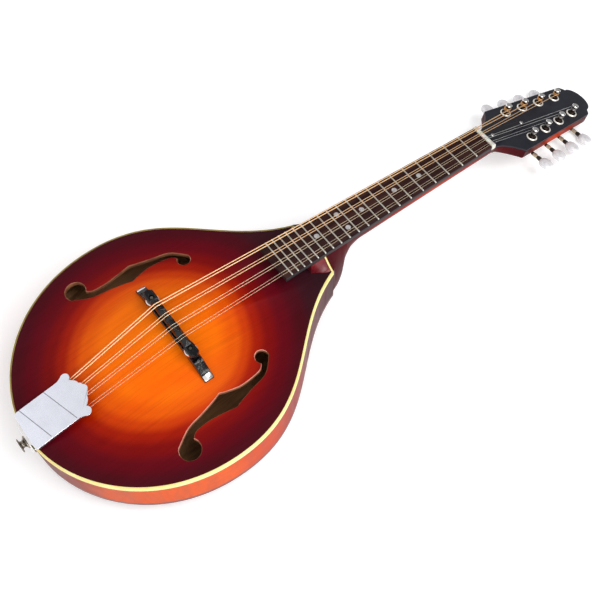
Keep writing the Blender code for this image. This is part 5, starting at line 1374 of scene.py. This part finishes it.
def wheel_section(k):
    """Section of a thumbwheel, its rim knurled."""
    rim = WHEEL_RADIUS - (KNURL if k % 2 else 0.0)
    return [(WHEEL_BORE, 0.0002), (WHEEL_HUB, 0.0), (rim - WHEEL_CORNER, 0.0), (rim, 0.0005), (rim, 0.0025),
            (rim - WHEEL_CORNER, WHEEL_HEIGHT), (WHEEL_HUB, WHEEL_HEIGHT), (WHEEL_BORE, 0.0028)]


def saddle_section(x):
    """Crest place, crest height, half width and drop of the saddle at one place along it."""
    step = SADDLE_SPREAD[0]
    course = min(max(int((x + 2 * step) / step), 0), 3)
    share = (x + 2 * step) / step - course
    crest_y = SETBACK[course]
    if 0 <= share < SADDLE_STEP and course > 0:
        middle = (SETBACK[course - 1] + SETBACK[course]) / 2
        crest_y = between(middle, SETBACK[course], share / SADDLE_STEP)
    if share > 1 - SADDLE_STEP and course < 3:
        middle = (SETBACK[course] + SETBACK[course + 1]) / 2
        crest_y = between(SETBACK[course], middle, (share - (1 - SADDLE_STEP)) / SADDLE_STEP)
    drop = smooth((abs(x) - SADDLE_SHOULDER[0]) / SADDLE_SHOULDER[1])
    loss = SADDLE_END_LOSS * smooth((abs(x) - SADDLE_END[0]) / SADDLE_END[1]) ** 2
    half = between(*SADDLE_THICK, drop) - loss
    return crest_y * (1 - drop), between(SADDLE_CREST, SADDLE_END_TOP, drop), half, drop


def make_saddle():
    rings = []
    steps, low = 180, SADDLE_LOW
    corner, ease = SADDLE_CORNER, SADDLE_CREST_CORNER
    for k in range(steps + 1):
        x = SADDLE_HALF * (2 * k / steps - 1)
        crest_y, top, half, drop = saddle_section(x)
        flat = between(SADDLE_FLAT, half * 0.72, drop)
        left, right = max(crest_y - flat, -half + corner), min(crest_y + flat, half - corner)
        shoulder = top - between(0.0024, 0.0007, drop)
        ring = [(-half + corner, low), (half - corner, low), (half, low + corner), (half, shoulder),
                (right, top - ease), (right - ease, top), (left + ease, top), (left, top - ease),
                (-half, shoulder), (-half, low + corner)]
        rings.append([(x, y, z) for y, z in ring])
    saddle = piece("saddle_fine", loft(rings), EBONY, body="saddle", replaces="bridge_saddle",
                   slot="ebony_black", crease=42.0)
    bore = turned([(0.0021, -0.0100), (0.0021, 0.0200)], 32)
    for _, side in SIDES:
        cut(saddle, bore, EBONY, at(side * STUD_X, 0, SADDLE_LOW), crease=42.0)


# ---- Tailpiece

def make_tailpiece_base():
    """Sheet that runs back over the top and down the tail, with a hook for each string."""
    inner_y = BODY_TAIL_Y - SEAT
    out_y = inner_y - LEAF_THICKNESS
    front, rear = LEAF_FRONT_Y, -0.1380
    upper = [(front, LEAF_FRONT_TOP), (-0.1200, 0.00514), (rear, 0.0030), (-0.1440, 0.0019),
             (BODY_TAIL_Y, SEAT + LEAF_THICKNESS), (out_y + 0.0003, SEAT + 0.0008), (out_y, 0.0)]
    lower = [(front, LEAF_FRONT_TOP - LEAF_THICKNESS), (-0.1200, 0.00394), (rear, 0.0018), (-0.1440, 0.0007),
             (BODY_TAIL_Y, SEAT), (inner_y, 0.0001), (inner_y, -0.0004)]
    for z in (-0.0090, -0.0220, -0.0270, -0.0290):
        upper.append((out_y, z))
        lower.append((inner_y, z))
    halves = [0.0178, 0.0178, 0.0178, 0.0136, 0.0102, 0.0100, 0.0101, 0.0125, 0.0076, 0.0060, 0.0040]
    rings = []
    for (uy, uz), (ly, lz), half in zip(upper, lower, halves):
        rings.append([(-half, uy, uz), (half, uy, uz), (half, ly, lz), (-half, ly, lz)])
    piece("tail_leaf", loft(rings), NICKEL, replaces="tailpiece_base", slot="nickel", crease=30.0,
          bevel=(0.0002, 2))
    hooks = []
    for course, pair in STRINGS:
        path = [(across(course, pair, TAIL_SPREAD), LEAF_FRONT_Y - back, LEAF_FRONT_TOP + up)
                for back, up in ((0.0030, -0.0006), (0.0016, 0.0), (0.0009, 0.0012), (0.0013, 0.0022))]
        hooks.append(tube(catmull(path, 4), HOOK_RADIUS, 8))
    piece("string_hooks", merge(*hooks), NICKEL, slot="nickel", crease=50.0)


def make_tail_hardware():
    """Two screws and the strap button, both out of the tail."""
    seat = 2 * SEAT + LEAF_THICKNESS
    shank = turned([(0.0006, -0.0110), (0.0012, -0.0090), (0.0012, seat)], 16)
    screw = merge(shank, shift(screw_head(0.0022, 0.0011), at(0, 0, seat - 0.0001)))
    outwards = spin(math.pi / 2, "X")
    for name, side in SIDES:
        piece(f"tail_screw_{name}", screw, NICKEL, replaces=f"tailpiece_screw_{name}", slot="nickel",
              crease=40.0, place=at(side * 0.0052, BODY_TAIL_Y, -0.0210) @ outwards)
    end = seat + 0.0068
    foot = ((0.0035, -0.0002), (0.0058, -0.0002), (0.0062, 0.0002), (0.0062, 0.0009), (0.0058, 0.0014),
            (0.0045, 0.0018), (0.0036, 0.0026), (0.0032, 0.0036), (0.0033, 0.0046), (0.0040, 0.0053))
    head = ((0.0060, 0.0013), (0.0065, 0.0009), (0.0064, 0.0004), (0.0055, 0.0001), (0.0036, 0.0),
            (0.0034, 0.0003), (0.0010, 0.0004))
    profile = [(0.0028, -0.0170)] + [(r, seat + up) for r, up in foot] + [(r, end - down) for r, down in head]
    piece("strap_button", turned(profile, 48), PIN_DARK_REFLECTION, replaces="end_pin", slot="nickel", crease=50.0,
          place=at(0, BODY_TAIL_Y, PIN_Z) @ outwards)


def cover_top(y):
    if y >= COVER_BREAK_Y:
        return between(0.0072, 0.0147, (y - COVER_BREAK_Y) / (COVER_APEX_Y - COVER_BREAK_Y))
    return between(0.0052, 0.0072, (y - COVER_REAR_Y) / (COVER_BREAK_Y - COVER_REAR_Y))


def cover_outline():
    """Plan of the cover: eased rear corners, a round lobe at each front corner, five scallops between."""
    rear = arc(COVER_HALF - 0.0026, COVER_REAR_Y + 0.0026, 0.0026, -90, 0, 6)
    side = [(COVER_HALF, COVER_BREAK_Y), (COVER_HALF, -0.1100), (COVER_HALF + 0.0002, -0.1022)]
    lobe = arc(COVER_HALF - 0.0012, -0.0955, 0.0042, -46, 150, 26)
    inner_x, inner_y = lobe[-1]
    chord_y = COVER_APEX_Y - 0.0024
    stops = [1.0, 0.5, 0.3, -0.3, -0.5, -1.0]
    notch_y = [inner_y, between(chord_y, inner_y, 0.2 / 0.7), chord_y]
    notch_y += notch_y[::-1]
    scallops = []
    for k, bow in enumerate((0.0012, 0.0006, 0.0024, 0.0006, 0.0012)):
        steps = 16 if k == 2 else 9
        for step in range(0 if k else 1, steps):
            share = step / steps
            x = inner_x * 0.985 * between(stops[k], stops[k + 1], share)
            scallops.append((x, between(notch_y[k], notch_y[k + 1], share) + bow * math.sin(math.pi * share)))
    right = rear + side + lobe
    return right + scallops + [(-x, y) for x, y in right[::-1]]


def make_cover():
    """Sheet cover with rounded edges, folded sides and two thin engraved lines."""
    outline = cover_outline()
    count = len(outline)
    points = [(x, y, cover_top(y) - down) for down in (0.0, COVER_THICKNESS) for x, y in outline]
    bend = next(k for k, (x, y) in enumerate(outline) if y >= COVER_BREAK_Y)
    faces = []
    for offset in (0, count):
        faces.append(tuple(offset + k for k in range(bend, count - bend)))
        faces.append(tuple(offset + k for k in [*range(bend + 1), *range(count - 1 - bend, count)]))
    faces += [(k, (k + 1) % count, count + (k + 1) % count, count + k) for k in range(count)]
    cover = piece("cover_sheet", (points, faces), [BRIGHT, ENGRAVED], body="cover",
                  replaces="tailpiece_cover", slot="nickel", bevel=(0.00035, 3))
    for start, end in ENGRAVINGS:
        run = Vector(end) - Vector(start)
        normal = Vector((-run.y, run.x)).normalized() * ENGRAVING_HALF
        groove = ((-1, 0.0004), (1, 0.0004), (1, -0.0001), (0, -0.0003), (-1, -0.0001))
        rings = [[(x + side * normal.x, y + side * normal.y, cover_top(y) + up) for side, up in groove]
                 for x, y in (start, end)]
        cut(cover, loft(rings), ENGRAVED, crease=12.0)
    skirts = []
    for _, side in SIDES:
        rings = []
        for y in (COVER_REAR_Y + 0.0029, COVER_BREAK_Y, -0.1240, -0.1120, -0.1040, -0.1022):
            high = cover_top(y) - 0.0005
            low = high - 0.0030
            section = ((0.0182, low), (0.0190, low), (0.01905, low + 0.0003), (0.01905, high), (0.0182, high))
            rings.append([(side * x, y, z) for x, z in section])
        skirts.append(loft(rings))
    piece("cover_skirts", merge(*skirts), BRIGHT, body="cover", slot="nickel", crease=30.0)


# ---- Strings

def head_path(nut, side, post, radius, loops):
    """From the nut to the post, at a tangent, and down its turns."""
    behind = Vector((nut.x, NUT_Y + BEHIND_NUT[0], nut.z - BEHIND_NUT[1]))
    centre = HEAD.inverted() @ post_frame(side, post).translation
    start = HEAD.inverted() @ behind
    reach = POST_RADIUS + radius
    gap = Vector((centre.x - start.x, centre.y - start.y))
    heading = math.atan2(gap.y, gap.x) + side * math.asin(reach / gap.length)
    run = math.sqrt(gap.length**2 - reach**2)
    touch = Vector((start.x + run * math.cos(heading), start.y + run * math.sin(heading)))
    first = math.atan2(touch.y - centre.y, touch.x - centre.x)
    pitch = 2 * radius + TURN_GAP
    landing = HEAD @ Vector((touch.x, touch.y, TURNS_TOP_N))
    path = [nut, nut.lerp(behind, 0.5), behind] + [behind.lerp(landing, k / 6) for k in range(1, 6)]
    for k in range(loops * TURN_STEPS + 1):
        turns = k / TURN_STEPS
        angle = first - side * 2 * math.pi * turns
        x, y = centre.x + reach * math.cos(angle), centre.y + reach * math.sin(angle)
        path.append(HEAD @ Vector((x, y, TURNS_TOP_N - pitch * turns)))
    return path


def loop_end(hook, crest, radius):
    """Loop round a hook, and the end of the wire twisted round the string in front of it."""
    loop, wrap = [], []
    eye = Vector((hook.x, LEAF_FRONT_Y - 0.0011, LEAF_FRONT_TOP + 0.0009))
    for k, (c, s) in enumerate(circle(24, 0.5 - math.pi / 2, 25)):
        loop.append(eye + Vector((LOOP_HALF[0] * c, LOOP_HALF[1] * s + 0.0002, 0.00002 * k)))
    along = (crest - hook).normalized()
    right = Vector((1, 0, 0))
    up = along.cross(right)
    for k, (c, s) in enumerate(circle(12, count=133)):
        middle = hook + along * (TWIST[0] + TWIST[1] * k / 132)
        wrap.append(middle + (radius + WRAP_RADIUS) * (c * right + s * up))
    return merge(tube(loop, min(radius, 0.0003), 8), tube(wrap, WRAP_RADIUS, 6))


def make_strings():
    for index, (course, pair) in enumerate(STRINGS):
        wound = course < 2
        side, post = (-1, index) if wound else (1, 7 - index)
        radius = STRING_RADIUS[course]
        name = f"string_{COURSES[course]}{1 if pair < 0 else 2}"
        # Plain strings over the body take the warm-tinted steel, a painted reflection; their head parts are
        # neutral steel
        wire = (BRONZE_G, BRONZE_D, STEEL_WARM_REFLECTION, STEEL_WARM_REFLECTION)[course]
        style = {"slot": "bronze_wound" if wound else "plain_steel", "crease": 60.0}
        hook_x = across(course, pair, TAIL_SPREAD)
        hook = Vector((hook_x, LEAF_FRONT_Y + radius / 2, LEAF_FRONT_TOP + HOOK_REST))
        crest = Vector((across(course, pair, SADDLE_SPREAD), SETBACK[course], SADDLE_CREST + radius))
        nut = Vector((across(course, pair, NUT_SPREAD), NUT_Y + 0.0016, board_top(NUT_Y) + NUT_REST + radius))
        path = [hook.lerp(crest, k / 24) for k in range(24)] + [crest + Vector((0, -0.0004, -0.00006)), crest]
        made = piece(f"{name}_tail", tube(path, radius, WIRE_SIDES), wire, body=None, **style)
        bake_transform(made)
        path = [crest + (nut - crest) * (k / 60) for k in range(61)]
        made = piece(f"{name}_speaking", tube(path, radius, WIRE_SIDES), wire, body=None, **style)
        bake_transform(made)
        path = head_path(nut, side, post, radius, 3 + course)
        solid = banded(tube(path, radius, WIRE_SIDES), WIRE_SIDES, 0, [0] * 8 + [1] * (len(path) - 9), 1)
        looks = [wire, BRONZE_TURNS] if wound else [PLAIN_WIRE, STEEL_TURNS]
        piece(f"{name}_head", solid, looks, replaces=name, **style)
        piece(f"{name}_loop", loop_end(hook, crest, radius), STEEL_WARM_REFLECTION, **style)


def dress_kept_nodes():
    """Better materials for the CAD solids that stay."""
    kept = {"head_block": SHADED_MAPLE, "tail_block": SHADED_MAPLE, "truss_rod": ROD_STEEL_AND_SHADE, "truss_rod_nut": BRASS}
    for name, _ in SIDES:
        kept.update({f"top_lining_{name}": SHADED_MAPLE, f"back_lining_{name}": SHADED_MAPLE, f"tone_bar_{name}": SPRUCE})
    for name, look in kept.items():
        nodes[name].data.materials[0] = look
        shade(nodes[name].data, 35)


# ---- Camera, floor and light

PHOTO_SIZE = 600
FOCAL_LENGTH = 943.75
SENSOR = 36
# The camera's right, down and forward directions, and where it stands
CAMERA_ROWS = ((0.59923, 0.80039, -0.01718), (0.70052, -0.53462, -0.47271), (-0.38754, 0.27122, -0.88105))
EYE = Vector((0.35535, -0.11670, 0.72679))
# Brightness of the room, from low down on the tail's side to overhead on the head's side
ROOM = ((0.0, 0.98), (0.66, 0.96), (0.80, 0.62), (0.95, 0.36), (1.0, 0.34))


def add_camera():
    right, down, forward = (Vector(row) for row in CAMERA_ROWS)
    camera = bpy.data.objects.new("camera", bpy.data.cameras.new("camera"))
    place = Matrix.Identity(4)
    for column, axis in enumerate((right, -down, -forward)):
        for row in range(3):
            place[row][column] = axis[row]
    place.translation = EYE + SHIFT
    camera.matrix_world = place
    camera.data.sensor_width = SENSOR
    camera.data.lens = FOCAL_LENGTH * SENSOR / PHOTO_SIZE
    camera.data.clip_start = 0.01
    bpy.context.scene.collection.objects.link(camera)
    bpy.context.scene.camera = camera


def area_light(name, place, target, size, power, size_y=None):
    data = bpy.data.lights.new(name, "AREA")
    data.energy = power
    data.size = size
    if size_y:
        data.shape = "RECTANGLE"
        data.size_y = size_y
    made = bpy.data.objects.new(name, data)
    made.location = place
    made.rotation_euler = (Vector(target) - Vector(place)).to_track_quat("-Z", "Y").to_euler()
    bpy.context.scene.collection.objects.link(made)


def add_floor():
    far = 6.0
    mesh = bpy.data.meshes.new("floor")
    mesh.from_pydata([(-far, -far, 0), (far, -far, 0), (far, far, 0), (-far, far, 0)], [], [(0, 1, 2, 3)])
    floor = bpy.data.objects.new("floor", mesh)
    floor.location.z = -0.0004
    mesh.materials.append(floor_look())
    bpy.context.scene.collection.objects.link(floor)


def add_room():
    """A pale room that is brighter low down and towards the tail than overhead."""
    world = bpy.data.worlds.new("studio")
    bpy.context.scene.world = world
    world.use_nodes = True
    tree = world.node_tree
    way, split, height, ramp = (tree.nodes.new(f"ShaderNode{kind}")
                                for kind in ("TexCoord", "SeparateXYZ", "Math", "ValToRGB"))
    height.operation = "MULTIPLY_ADD"
    height.inputs[1].default_value = 0.9
    fill_ramp(ramp.color_ramp, [(place, (value, value, value * 1.01)) for place, value in ROOM])
    for out, socket in ((way.outputs["Generated"], split.inputs[0]), (split.outputs["Y"], height.inputs[0]),
                        (split.outputs["Z"], height.inputs[2]), (height.outputs[0], ramp.inputs["Fac"]),
                        (ramp.outputs["Color"], tree.nodes["Background"].inputs["Color"])):
        tree.links.new(out, socket)
    area_light("key", (0.75, 0.30, 1.40), (0.0, 0.0, 0.03), 0.9, 15.0)
    area_light("side", (1.3, -0.35, 0.45), (0.05, 0.0, 0.03), 0.8, 6.0, size_y=0.4)
    bpy.context.scene.view_settings.view_transform = "Standard"


for make in (make_plates, make_ribs, make_binding, make_riser, make_board, make_nut, make_neck, make_head,
             make_rod_cover, make_keys, make_tuner_plates, make_bridge, make_saddle, make_tailpiece_base,
             make_tail_hardware, make_cover, make_strings, dress_kept_nodes, add_camera, add_floor, add_room):
    make()
